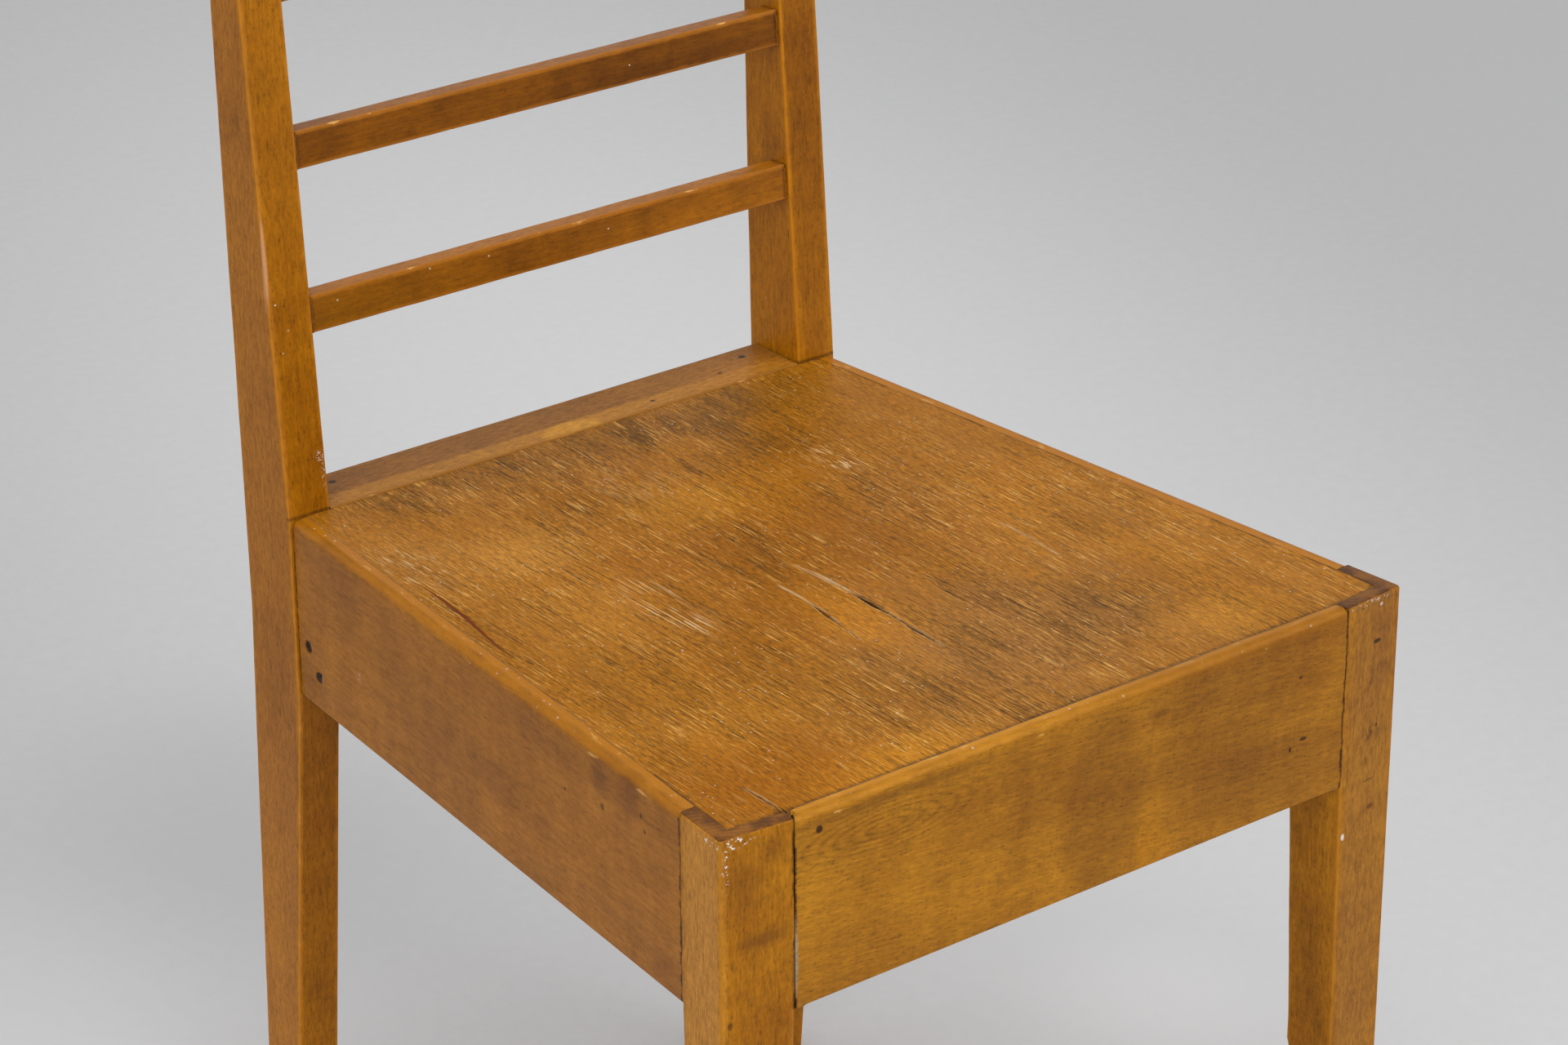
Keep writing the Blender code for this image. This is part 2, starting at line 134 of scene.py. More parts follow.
class Value:
    """Output socket of a shader node, with the arithmetic of Math nodes."""

    def __init__(self, recipe: Recipe, socket: bpy.types.NodeSocket) -> None:
        """Wraps an output socket of a recipe's node."""
        self.recipe = recipe
        self.socket = socket

    def _math(self, operation: str, *operands: Operand) -> Value:
        """Adds a Math node over its operands."""
        inputs = dict(enumerate(operands))
        return self.recipe.node("ShaderNodeMath", {"operation": operation}, inputs)

    def __add__(self, other: Operand) -> Value:
        """Sum."""
        return self._math("ADD", self, other)

    def __radd__(self, other: Operand) -> Value:
        """Sum, from the right."""
        return self._math("ADD", other, self)

    def __sub__(self, other: Operand) -> Value:
        """Difference."""
        return self._math("SUBTRACT", self, other)

    def __rsub__(self, other: Operand) -> Value:
        """Difference, from the right."""
        return self._math("SUBTRACT", other, self)

    def __mul__(self, other: Operand) -> Value:
        """Product."""
        return self._math("MULTIPLY", self, other)

    def __rmul__(self, other: Operand) -> Value:
        """Product, from the right."""
        return self._math("MULTIPLY", other, self)

    def __pow__(self, other: Operand) -> Value:
        """Power."""
        return self._math("POWER", self, other)

    def __rpow__(self, other: Operand) -> Value:
        """Power, from the right."""
        return self._math("POWER", other, self)

    def __abs__(self) -> Value:
        """Size without sign."""
        return self._math("ABSOLUTE", self)

    def clamped(self) -> Value:
        """The value held between 0 and 1."""
        return self._math("MINIMUM", self._math("MAXIMUM", self, 0.0), 1.0)

    def sine(self) -> Value:
        """Sine of the value."""
        return self._math("SINE", self)

    def rising(self, low: float, high: float) -> Value:
        """Smooth step from 0 at low to 1 at high; it falls where low is the higher."""
        limits = {"Value": self, "From Min": low, "From Max": high}
        return self.recipe.node("ShaderNodeMapRange", {"interpolation_type": "SMOOTHSTEP"}, limits)

    def sibling(self, name: str) -> Value:
        """Another output of the same node."""
        return Value(self.recipe, self.socket.node.outputs[name])


Operand = Union[Value, float]


class Recipe:
    """Node tree of one material or sky, and the nodes that fill it."""

    def __init__(self, owner: bpy.types.Material | bpy.types.World) -> None:
        """Starts an empty tree.

        Args:
            owner: Material or sky that the tree belongs to.
        """
        self.owner = owner
        owner.use_nodes = True
        self.tree = owner.node_tree
        self.tree.nodes.clear()

    def add(self, kind: str, settings: Settings = None, inputs: Inputs = None) -> bpy.types.Node:
        """Adds a node.

        Args:
            kind: Type of the node.
            settings: Its own properties, set first.
            inputs: Values or links of its sockets, by name or place.

        Returns:
            The node.
        """
        made = self.tree.nodes.new(kind)
        for name, setting in (settings or {}).items():
            setattr(made, name, setting)
        for key, given in (inputs or {}).items():
            socket = made.inputs[key]
            if isinstance(given, Value):
                self.tree.links.new(given.socket, socket)
            elif socket.type == "RGBA":
                socket.default_value = (*given, 1.0)
            else:
                socket.default_value = given
        return made

    def node(
        self, kind: str, settings: Settings = None, inputs: Inputs = None, output: str | int = 0
    ) -> Value:
        """Output of a new node, chosen by its name or place."""
        return Value(self, self.add(kind, settings, inputs).outputs[output])

    def vector(self, operation: str, inputs: Inputs, output: str | int = 0) -> Value:
        """Output of a new Vector Math node."""
        return self.node("ShaderNodeVectorMath", {"operation": operation}, inputs, output)

    def place(self) -> Value:
        """Object coordinates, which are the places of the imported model."""
        return self.node("ShaderNodeTexCoord", output="Object")

    def plan(self, place: Value) -> tuple[Value, Value]:
        """X and Y of coordinates."""
        parts = self.node("ShaderNodeSeparateXYZ", None, {0: place})
        return parts, parts.sibling("Y")

    def turned(self, place: Value, turn: Sequence[float], shift: Triple) -> Value:
        """Coordinates turned to the grain and shifted to their own stretch of wood."""
        inputs = {"Vector": place, "Rotation": turn, "Location": shift}
        return self.node("ShaderNodeMapping", None, inputs)

    def stretched(self, vector: Value, factors: Sequence[float]) -> Value:
        """Coordinates times a factor for each axis."""
        return self.vector("MULTIPLY", {0: vector, 1: factors})

    def reach(self, place: Value, centre: Triple, radii: Triple) -> Value:
        """Distance from a centre as a share of the radii: 0 at the centre, 1 at the rim."""
        offset = self.vector("SUBTRACT", {0: place, 1: centre})
        return self.vector("LENGTH", {0: self.stretched(offset, [1 / r for r in radii])}, "Value")

    def noise(self, vector: Value, scale: float, detail: float = 2.0, rough: float = 0.5) -> Value:
        """Cloudy noise of about 0.5, with features of about 1 / scale metres."""
        inputs = {"Vector": vector, "Scale": scale, "Detail": detail, "Roughness": rough}
        return self.node("ShaderNodeTexNoise", {"noise_dimensions": "3D"}, inputs)

    def streaks(
        self, wood: Value, stretch: float, scale: float, detail: float = 2.0, rough: float = 0.5
    ) -> Value:
        """Noise that is drawn out along the grain where the stretch is under 1."""
        return self.noise(self.stretched(wood, (stretch, 1, 1)), scale, detail, rough)

    def dashes(self, vector: Value, scale: float, size: float, share: float) -> Value:
        """Scattered small spots, drawn out into dashes where the coordinates are stretched.

        Args:
            vector: Coordinates.
            scale: Cells in a metre.
            size: Reach of a spot in its cell, up to about 0.5.
            share: Share of the cells that hold a spot.

        Returns:
            Mask of the spots.
        """
        inputs = {"Vector": vector, "Scale": scale}
        cells = self.node("ShaderNodeTexVoronoi", {"feature": "F1"}, inputs)
        draw = self.node("ShaderNodeSeparateColor", None, {"Color": cells.sibling("Color")})
        return cells.rising(size, size * 0.45) * draw.rising(share + 0.02, share - 0.02)

    def mix(self, low: Value | Colour, high: Value | Colour, factor: Operand) -> Value:
        """Colour between two colours."""
        inputs = {"Factor": factor, 6: low, 7: high}
        return self.node("ShaderNodeMix", {"data_type": "RGBA", "clamp_factor": True}, inputs, 2)

    def dimmed(self, colour: Value, factor: Operand) -> Value:
        """Colour times a number."""
        return self.vector("SCALE", {0: colour, "Scale": factor})

    def attribute(self, name: str) -> Value:
        """Number that the mesh carries at its vertices."""
        return self.node("ShaderNodeAttribute", {"attribute_name": name}, None, "Fac")

    def spot(self, place: Value, wood: Value, mark: Mark) -> Value:
        """Mask of a mark, whole or broken up into flecks along the grain.

        Args:
            place: Object coordinates.
            wood: Coordinates along the grain.
            mark: The mark.

        Returns:
            Its mask, times its strength.
        """
        reach = self.reach(place, mark.centre, mark.radii)
        if mark.ragged:
            edge = self.streaks(wood, 0.4, mark.ragged_scale, 3.0, 0.6)
            reach = reach + (edge - 0.5) * mark.ragged
        mask = reach.rising(1 + mark.soft, 1 - mark.soft) * mark.strength
        if mark.flecks:
            fleck = self.streaks(wood, mark.fleck_stretch, mark.flecks, 3.0, 0.6)
            mask = mask * fleck.rising(0.55, 0.61)
        return mask

    def marked(self, colour: Value, place: Value, wood: Value, marks: Iterable[Mark]) -> Value:
        """The colour with marks laid over it, in their order."""
        for mark in marks:
            colour = self.mix(colour, mark.colour, self.spot(place, wood, mark))
        return colour

    def surface(
        self,
        colour: Value,
        roughness: Operand,
        height: Value,
        relief: float,
        gloss: float = 0.12,
        metallic: float = 0.0,
    ) -> None:
        """Ends the recipe with its shader.

        Args:
            colour: Base colour.
            roughness: Roughness.
            height: Relief of the surface, 0 to 1.
            relief: Depth of the relief in metres.
            gloss: Specular level of the finish.
            metallic: 1 for bare metal.
        """
        bump = {"Height": height, "Distance": relief, "Strength": 1.0}
        inputs = {
            "Base Color": colour,
            "Roughness": roughness,
            "Metallic": metallic,
            "Specular IOR Level": gloss,
            "Normal": self.node("ShaderNodeBump", None, bump),
        }
        shader = self.node("ShaderNodeBsdfPrincipled", None, inputs)
        self.add("ShaderNodeOutputMaterial", None, {"Surface": shader})


class Finish:
    """A finish, as the nodes of a material on Object coordinates."""

    def material(self, name: str) -> Material:
        """Makes a material with this finish.

        Args:
            name: Name of the material.

        Returns:
            The material.
        """
        recipe = Recipe(bpy.data.materials.new(name))
        self.lay(recipe, recipe.place())
        return recipe.owner

    def lay(self, recipe: Recipe, place: Value) -> None:
        """Lays the nodes of the finish into a recipe."""
        raise NotImplementedError


@dataclass(frozen=True)
class Mark:
    """One mark on a surface: a stain, a hole's rim, a fleck of paint, a knock, or a patch of
    painted light or shade.

    Soft is the width of its rim and ragged is how far the rim strays, as shares of the radii.
    Flecks is the scale of the noise that breaks a mark up, and 0 leaves it whole.
    """

    centre: Triple
    radii: Triple
    colour: Colour
    strength: float = 1.0
    soft: float = 0.4
    ragged: float = 0.0
    ragged_scale: float = 300.0
    flecks: float = 0.0
    fleck_stretch: float = 1.0


Marks = tuple[Mark, ...]
Style = tuple[float, ...]


def blot(
    x: float, y: float, z: float, wide: float, deep: float, high: float, colour: Colour, *how: float
) -> Mark:
    """Mark with its centre and radii given in millimetres."""
    centre, radii = (x / 1000, y / 1000, z / 1000), (wide / 1000, deep / 1000, high / 1000)
    return Mark(centre, radii, colour, *how)


@dataclass(frozen=True)
class Figure:
    """Nested ovals of the grain on a flat-sawn face."""

    centre: Triple
    radii: Triple
    rings: float = 3.8
    depth: float = 0.25

    def lines(self, recipe: Recipe, place: Value, cloud: Value) -> Value:
        """Darkens the ovals, less and less outwards.

        Args:
            recipe: Recipe to add to.
            place: Object coordinates.
            cloud: Noise that bends the ovals.

        Returns:
            The darkening.
        """
        reach = recipe.reach(place, self.centre, self.radii)
        rings = (reach * (self.rings * math.tau) + (cloud - 0.5) * 14.0).sine()
        return (rings * 0.5 + 0.5) ** 2.0 * reach.rising(2.6, 0.7) * self.depth


@dataclass(frozen=True)
class VarnishedBeech(Finish):
    """Amber satin varnish on beech, worn light along the arrises, where a highlight is painted as
    well, and dark in the joints.
    """

    grain: Grain
    seed: float
    tilt: Triple = (0.0, 0.0, 0.0)
    pale: Colour = tone(180, 118, 12)
    deep: Colour = tone(142, 84, 6)
    stain: Colour = tone(96, 52, 6)
    # Colour of the worn arrises, which also paints their highlight.
    rubbed_and_highlit: Colour = tone(206, 132, 26)
    bare: Colour = tone(222, 170, 96)
    pore: float = 0.28
    fleck: float = 0.14
    curl: float = 0.9
    stained: float = 0.3
    speckle: float = 0.95
    cloudy: float = 1.8
    sparkle: float = 0.0
    tints: Marks = ()
    marks: Marks = ()
    figure: Figure | None = None
    grime: Colour = tone(30, 18, 8)
    white: Colour = tone(222, 216, 204)
    relief: float = 0.0001

    def lay(self, recipe: Recipe, place: Value) -> None:
        """Lays the wood, its varnish and its wear.

        Args:
            recipe: Recipe to fill.
            place: Object coordinates.
        """
        turn = Vector(self.grain.value) - Vector(self.tilt)
        wood = recipe.turned(place, turn, (self.seed * 1.37, self.seed * 0.61, self.seed * 0.23))
        cloud = recipe.streaks(wood, 0.4, 13)
        curl = recipe.noise(recipe.stretched(wood, (1, 0.35, 0.35)), 60)
        band = recipe.streaks(wood, 0.06, 70, 3, 0.6)
        fibre = recipe.streaks(wood, 0.07, 800, 2, 0.6)
        mottle = recipe.streaks(wood, 0.4, 480, 3, 0.7)
        light = 0.55 + (cloud - 0.5) * self.cloudy + (band - 0.5) * 0.8 + (curl - 0.5) * self.curl
        colour = recipe.mix(self.deep, self.pale, light.clamped())
        # Tints: the wood's own tone and, on some pieces, painted light and shade.
        colour = recipe.marked(colour, place, wood, self.tints)
        smear = recipe.streaks(wood, 0.45, 24, 4, 0.62)
        colour = recipe.mix(colour, self.stain, smear.rising(0.54, 0.72) * self.stained)
        pores = recipe.dashes(recipe.stretched(wood, (0.26, 1, 1)), 1250, 0.44, 0.42)
        rays = recipe.dashes(recipe.stretched(wood, (0.15, 1, 1)), 560, 0.36, 0.26)
        dim = 1.0 - pores * self.pore - rays * self.fleck
        dim = dim - (mottle - 0.5) * self.speckle - (fibre - 0.5) * 0.6
        if self.figure:
            dim = dim - self.figure.lines(recipe, place, cloud)
        colour = recipe.dimmed(colour, dim)
        colour = self.worn(recipe, place, wood, colour)
        colour = recipe.marked(colour, place, wood, self.marks)
        rough = 0.4 + (cloud - 0.5) * 0.25 + (mottle - 0.5) * 0.25
        height = 0.6 + (fibre - 0.5) * 0.5 + (mottle - 0.5) * 0.3 - pores * 0.4
        recipe.surface(colour, rough, height, self.relief)

    def worn(self, recipe: Recipe, place: Value, wood: Value, colour: Value) -> Value:
        """Adds worn and nicked arrises with a painted highlight, dirty joints, specks of white
        paint and white glints painted along the arrises.

        Args:
            recipe: Recipe to add to.
            place: Object coordinates.
            wood: Coordinates along the grain.
            colour: Colour of the sound varnish.

        Returns:
            The worn colour.
        """
        patch = recipe.streaks(wood, 0.4, 150, 4, 0.65)
        rub = recipe.attribute("rub")
        # Worn arrises: lighter worn varnish with a painted highlight along them.
        rubbed_and_highlit = (rub * 1.6 - 0.45 + (patch - 0.5) * 1.5).clamped()
        colour = recipe.mix(colour, self.rubbed_and_highlit, rubbed_and_highlit * 0.8)
        chip = patch.rising(0.6, 0.66) * rub.rising(0.6, 0.9)
        nick = (recipe.attribute("nick") * 0.6 + (patch - 0.5) * 2.6).rising(0.7, 0.95)
        colour = recipe.mix(colour, self.bare, (chip * 0.5 + nick * 0.6).clamped())
        dirt = recipe.attribute("grime") * (patch.rising(0.3, 0.6) * 0.5 + 0.5)
        colour = recipe.mix(colour, self.grime, dirt.rising(0.55, 1.0) * 0.9)
        specks = recipe.dashes(place, 60, 0.022, 0.16) * 0.8
        # Painted highlight: white glints scattered along the worn arrises, with pale chips among
        # them.
        if self.sparkle:
            glints = recipe.dashes(place, 200, 0.17, 0.3)
            specks = specks + glints * rub.rising(0.35, 0.6) * self.sparkle
        return recipe.mix(colour, self.white, specks)


@dataclass(frozen=True)
class WornVeneer(Finish):
    """Seat veneer: orange varnish worn through in brown patches, with open grain and scratches."""

    pale: Colour = tone(190, 123, 25)
    deep: Colour = tone(150, 94, 15)
    worn: Colour = tone(94, 61, 14)
    scratch: Colour = tone(214, 162, 84)
    pore: Colour = tone(62, 38, 10)
    bare: Colour = tone(226, 196, 150)
    dark: Colour = tone(16, 11, 7)
    red: Colour = tone(112, 48, 18)
    grime: Colour = tone(40, 24, 10)
    white: Colour = tone(228, 220, 210)
    marks: Marks = ()
    soiled: Marks = ()
    whole: Marks = ()
    scuffs: Marks = ()
    shift: Triple = (3.1, 1.7, 0.4)
    relief: float = 0.00015
    gloss: float = 0.08

    def lay(self, recipe: Recipe, place: Value) -> None:
        """Lays the veneer, its worn varnish, pores and scratches, and its splits.

        Args:
            recipe: Recipe to fill.
            place: Object coordinates.
        """
        wood = recipe.turned(place, Grain.ALONG_Y.value, self.shift)
        cloud = recipe.streaks(wood, 0.5, 11, 3, 0.55)
        patch = recipe.streaks(wood, 0.4, 27, 3, 0.6)
        streak = recipe.streaks(wood, 0.03, 620, 3, 0.7)
        fibre = recipe.streaks(wood, 0.15, 1350, 2, 0.6)
        figure = recipe.streaks(wood, 0.22, 105)
        light = (cloud - 0.5) * 1.4 + (figure - 0.5) * 1.2 + (streak - 0.5) * 1.1 + 0.5
        colour = recipe.mix(self.deep, self.pale, light.clamped())
        colour = recipe.marked(colour, place, wood, self.marks)
        soil = sum(recipe.spot(place, wood, area) for area in self.soiled)
        broken = 1.0 - sum(recipe.spot(place, wood, area) for area in self.whole)
        worn = patch * 0.3 + figure * 0.25 + streak * 0.4 + (fibre - 0.5) * 0.25 + soil * 0.11
        worn = worn.rising(0.48, 0.65) * broken
        colour = recipe.mix(colour, self.worn, worn * 0.7)
        pores = recipe.streaks(wood, 0.03, 1080, 1).rising(0.57, 0.65)
        pores = pores * (patch.rising(0.34, 0.56) * 0.35 + soil * 0.25 + 0.4) * broken
        colour = recipe.mix(colour, self.pore, pores * 0.7)
        scuffed = recipe.streaks(wood, 0.6, 22, 3)
        scratches = recipe.turned(wood, (0.0, 0.0, 0.02), (0.31, 0.17, 0.0))
        lines = recipe.streaks(scratches, 0.036, 1100, 1).rising(0.6, 0.68)
        flecks = recipe.streaks(scratches, 0.15, 1000, 1).rising(0.66, 0.74)
        lines = (lines + flecks) * (scuffed.rising(0.38, 0.62) * 0.75 + 0.25) * broken
        colour = recipe.mix(colour, self.scratch, lines * 0.85)
        colour = recipe.dimmed(colour, 1.0 - (fibre - 0.5) * 2.0)
        colour = recipe.marked(colour, place, wood, self.scuffs)
        specks = recipe.dashes(place, 230, 0.15, 0.3) * (scuffed.rising(0.36, 0.54) * 0.7 + 0.3)
        colour = recipe.mix(colour, self.white, specks * 0.6)
        lips = recipe.attribute("rub") * streak.rising(0.35, 0.55)
        colour = recipe.mix(colour, self.bare, lips * 0.8)
        dirt = recipe.attribute("grime") * (streak.rising(0.3, 0.6) * 0.4 + 0.6)
        colour = recipe.mix(colour, self.grime, dirt.rising(0.3, 0.95) * 0.85)
        colour = recipe.mix(colour, self.red, recipe.attribute("gouge"))
        colour = recipe.mix(colour, self.dark, recipe.attribute("split"))
        rough = 0.47 + (patch - 0.5) * 0.35 + (streak - 0.5) * 0.2
        height = 0.6 + (fibre - 0.5) * 0.6 - pores * 0.4 - lines * 0.2
        recipe.surface(colour, rough, height, self.relief, self.gloss)


@dataclass(frozen=True)
class EndGrain(Finish):
    """Sawn ends of the legs and posts, dark with old varnish and dirt."""

    light: Colour = tone(134, 84, 34)
    dark: Colour = tone(80, 47, 19)
    pore: Colour = tone(40, 22, 10)
    rubbed_and_highlit: Colour = tone(186, 116, 30)
    relief: float = 0.0001

    def lay(self, recipe: Recipe, place: Value) -> None:
        """Lays the rings and pores of the end.

        Args:
            recipe: Recipe to fill.
            place: Object coordinates.
        """
        cloud = recipe.noise(place, 70, 3, 0.6)
        dots = recipe.dashes(place, 1500, 0.45, 0.5)
        across, back = recipe.plan(place)
        rings = (across * 900.0 + back * 1900.0 + cloud * 9.0).sine()
        light = (cloud.rising(0.35, 0.7) + rings * 0.12).clamped()
        colour = recipe.mix(self.dark, self.light, light)
        colour = recipe.mix(colour, self.pore, dots * 0.3)
        # Lighter towards the worn arris: worn varnish with a painted highlight.
        rub = (recipe.attribute("rub") * 1.4 - 0.5 + (cloud - 0.5)).clamped()
        colour = recipe.mix(colour, self.rubbed_and_highlit, rub * 0.8)
        recipe.surface(colour, 0.42 + (cloud - 0.5) * 0.3, 0.5 - dots * 0.4, self.relief)


@dataclass(frozen=True)
class BareWood(Finish):
    """Unvarnished wood under the seat: pale, sawn across and dusty."""

    grain: Grain
    pale: Colour = tone(204, 164, 112)
    deep: Colour = tone(160, 116, 70)
    dust: Colour = tone(110, 88, 66)
    shift: Triple = (0.7, 2.3, 1.1)
    relief: float = 0.0002

    def lay(self, recipe: Recipe, place: Value) -> None:
        """Lays the sawn wood and its dust.

        Args:
            recipe: Recipe to fill.
            place: Object coordinates.
        """
        wood = recipe.turned(place, self.grain.value, self.shift)
        cloud = recipe.noise(place, 24, 3, 0.55)
        streak = recipe.streaks(wood, 0.05, 420, 3, 0.6)
        along, across = recipe.plan(wood)
        saw = (along * 2600.0 + across * 300.0 + streak * 5.0).sine()
        light = ((streak - 0.5) * 1.6 + 0.55 + saw * 0.06).clamped()
        colour = recipe.mix(self.deep, self.pale, light)
        colour = recipe.mix(colour, self.dust, cloud.rising(0.45, 0.75) * 0.4)
        colour = recipe.mix(colour, self.dust, recipe.attribute("grime").rising(0.2, 1.0) * 0.5)
        height = 0.5 + saw * 0.2 + streak * 0.3
        recipe.surface(colour, 0.8 - (cloud - 0.5) * 0.2, height, self.relief)


@dataclass(frozen=True)
class DarkSteel(Finish):
    """Old nails and screws: dark steel with spots of rust."""

    steel: Colour = tone(74, 70, 66)
    dark: Colour = tone(34, 30, 28)
    rust: Colour = tone(104, 58, 30)
    relief: float = 0.0001
    gloss: float = 0.5
    metallic: float = 0.7

    def lay(self, recipe: Recipe, place: Value) -> None:
        """Lays the steel and its rust.

        Args:
            recipe: Recipe to fill.
            place: Object coordinates.
        """
        spots = recipe.noise(place, 900, 3, 0.6)
        cloud = recipe.noise(place, 380)
        colour = recipe.mix(self.dark, self.steel, cloud.rising(0.35, 0.65))
        colour = recipe.mix(colour, self.rust, spots.rising(0.52, 0.66) * 0.8)
        rough = 0.45 + spots * 0.35
        recipe.surface(colour, rough, spots, self.relief, self.gloss, self.metallic)


@dataclass(frozen=True)
class StudioPaper(Finish):
    """Seamless pale grey paper under the chair, clear from below, with pools of light and shadow
    painted into it.
    """

    colour: Colour = tone(215, 215, 216)
    shade: Colour = tone(188, 188, 189)
    # Painted light and shadow: lighter patches left of the chair and to its right, and a painted
    # shadow behind it.
    painted_light_and_shadow: Marks = (
        Mark((-0.56, 0.36, 0.0), (0.44, 0.36, 0.1), tone(232, 232, 233), 0.85, 0.6),
        Mark((0.08, 0.66, 0.0), (0.12, 0.16, 0.1), tone(176, 176, 177), 0.45, 0.8),
        Mark((0.38, 0.13, 0.0), (0.06, 0.06, 0.1), tone(236, 236, 237), 0.35, 0.8),
    )
    roughness: float = 0.9
    gloss: float = 0.1

    def lay(self, recipe: Recipe, place: Value) -> None:
        """Lays the paper with painted pools of light and painted shadow.

        Args:
            recipe: Recipe to fill.
            place: Object coordinates.
        """
        tooth = recipe.noise(place, 90, 5, 0.6)
        across, back = recipe.plan(place)
        # Painted light: the paper is lighter along a band that runs back past the chair's right
        # side and all over in front of the chair, and darker towards the far edges and the sides.
        painted_light_pool = abs(across - back * 0.3 - 0.35).rising(0.9, 0.0) * back.rising(2.8, 0.9)
        painted_light_pool = 1.0 - (1.0 - painted_light_pool) * (back + abs(across) * 0.5).rising(-0.4, 0.5)
        colour = recipe.mix(self.shade, self.colour, painted_light_pool + (tooth - 0.5) * 0.3)
        colour = recipe.marked(colour, place, place, self.painted_light_and_shadow)
        inputs = {
            "Base Color": colour,
            "Roughness": self.roughness,
            "Specular IOR Level": self.gloss,
        }
        paper = recipe.node("ShaderNodeBsdfPrincipled", None, inputs)
        clear = recipe.node("ShaderNodeBsdfTransparent")
        behind = recipe.node("ShaderNodeNewGeometry", output="Backfacing")
        shown = recipe.node("ShaderNodeMixShader", None, {0: behind, 1: paper, 2: clear})
        recipe.add("ShaderNodeOutputMaterial", None, {"Surface": shown})


def loft(*sections: Sequence[Vector]) -> Solid:
    """Closed solid through sections that have the same number of corners.

    Args:
        sections: Corners of each section, in order.

    Returns:
        The solid.
    """
    bm = bmesh.new()
    loops = []
    for section in sections:
        verts = [bm.verts.new(point) for point in section]
        loops.append([bm.edges.new(pair) for pair in zip(verts, verts[1:] + verts[:1])])
    for near, far in zip(loops, loops[1:]):
        bmesh.ops.bridge_loops(bm, edges=near + far)
    for end in (loops[0], loops[-1]):
        bmesh.ops.contextual_create(bm, geom=end)
    bmesh.ops.recalc_face_normals(bm, faces=bm.faces)
    return bm


def cut(bm: Solid, point: Vector, normal: Vector) -> None:
    """Cuts edges into a mesh along a plane."""
    geometry = [*bm.verts, *bm.edges, *bm.faces]
    bmesh.ops.bisect_plane(bm, geom=geometry, dist=CUT_SNAP, plane_co=point, plane_no=normal)


def ragged(point: Vector, scale: float, seed: float) -> float:
    """Noise from 0 to 1 at a place."""
    own_field = Vector((seed * 7.3, seed * 3.1, seed * 5.7))
    return 0.5 + 0.5 * noise.noise(point * scale + own_field)


def nearness(point: Vector, lines: Iterable[Line], reach: float) -> float:
    """Tells how near a place is to the nearest of some lines.

    Args:
        point: The place.
        lines: The lines.
        reach: Distance over which a line counts as near.

    Returns:
        1 on a line, falling to 0 at the reach.
    """
    nearest = reach
    for start, end in lines:
        foot, share = intersect_point_line(point, start, end)
        foot = start if share < 0 else end if share > 1 else foot
        nearest = min(nearest, (point - foot).length)
    return 1 - nearest / reach


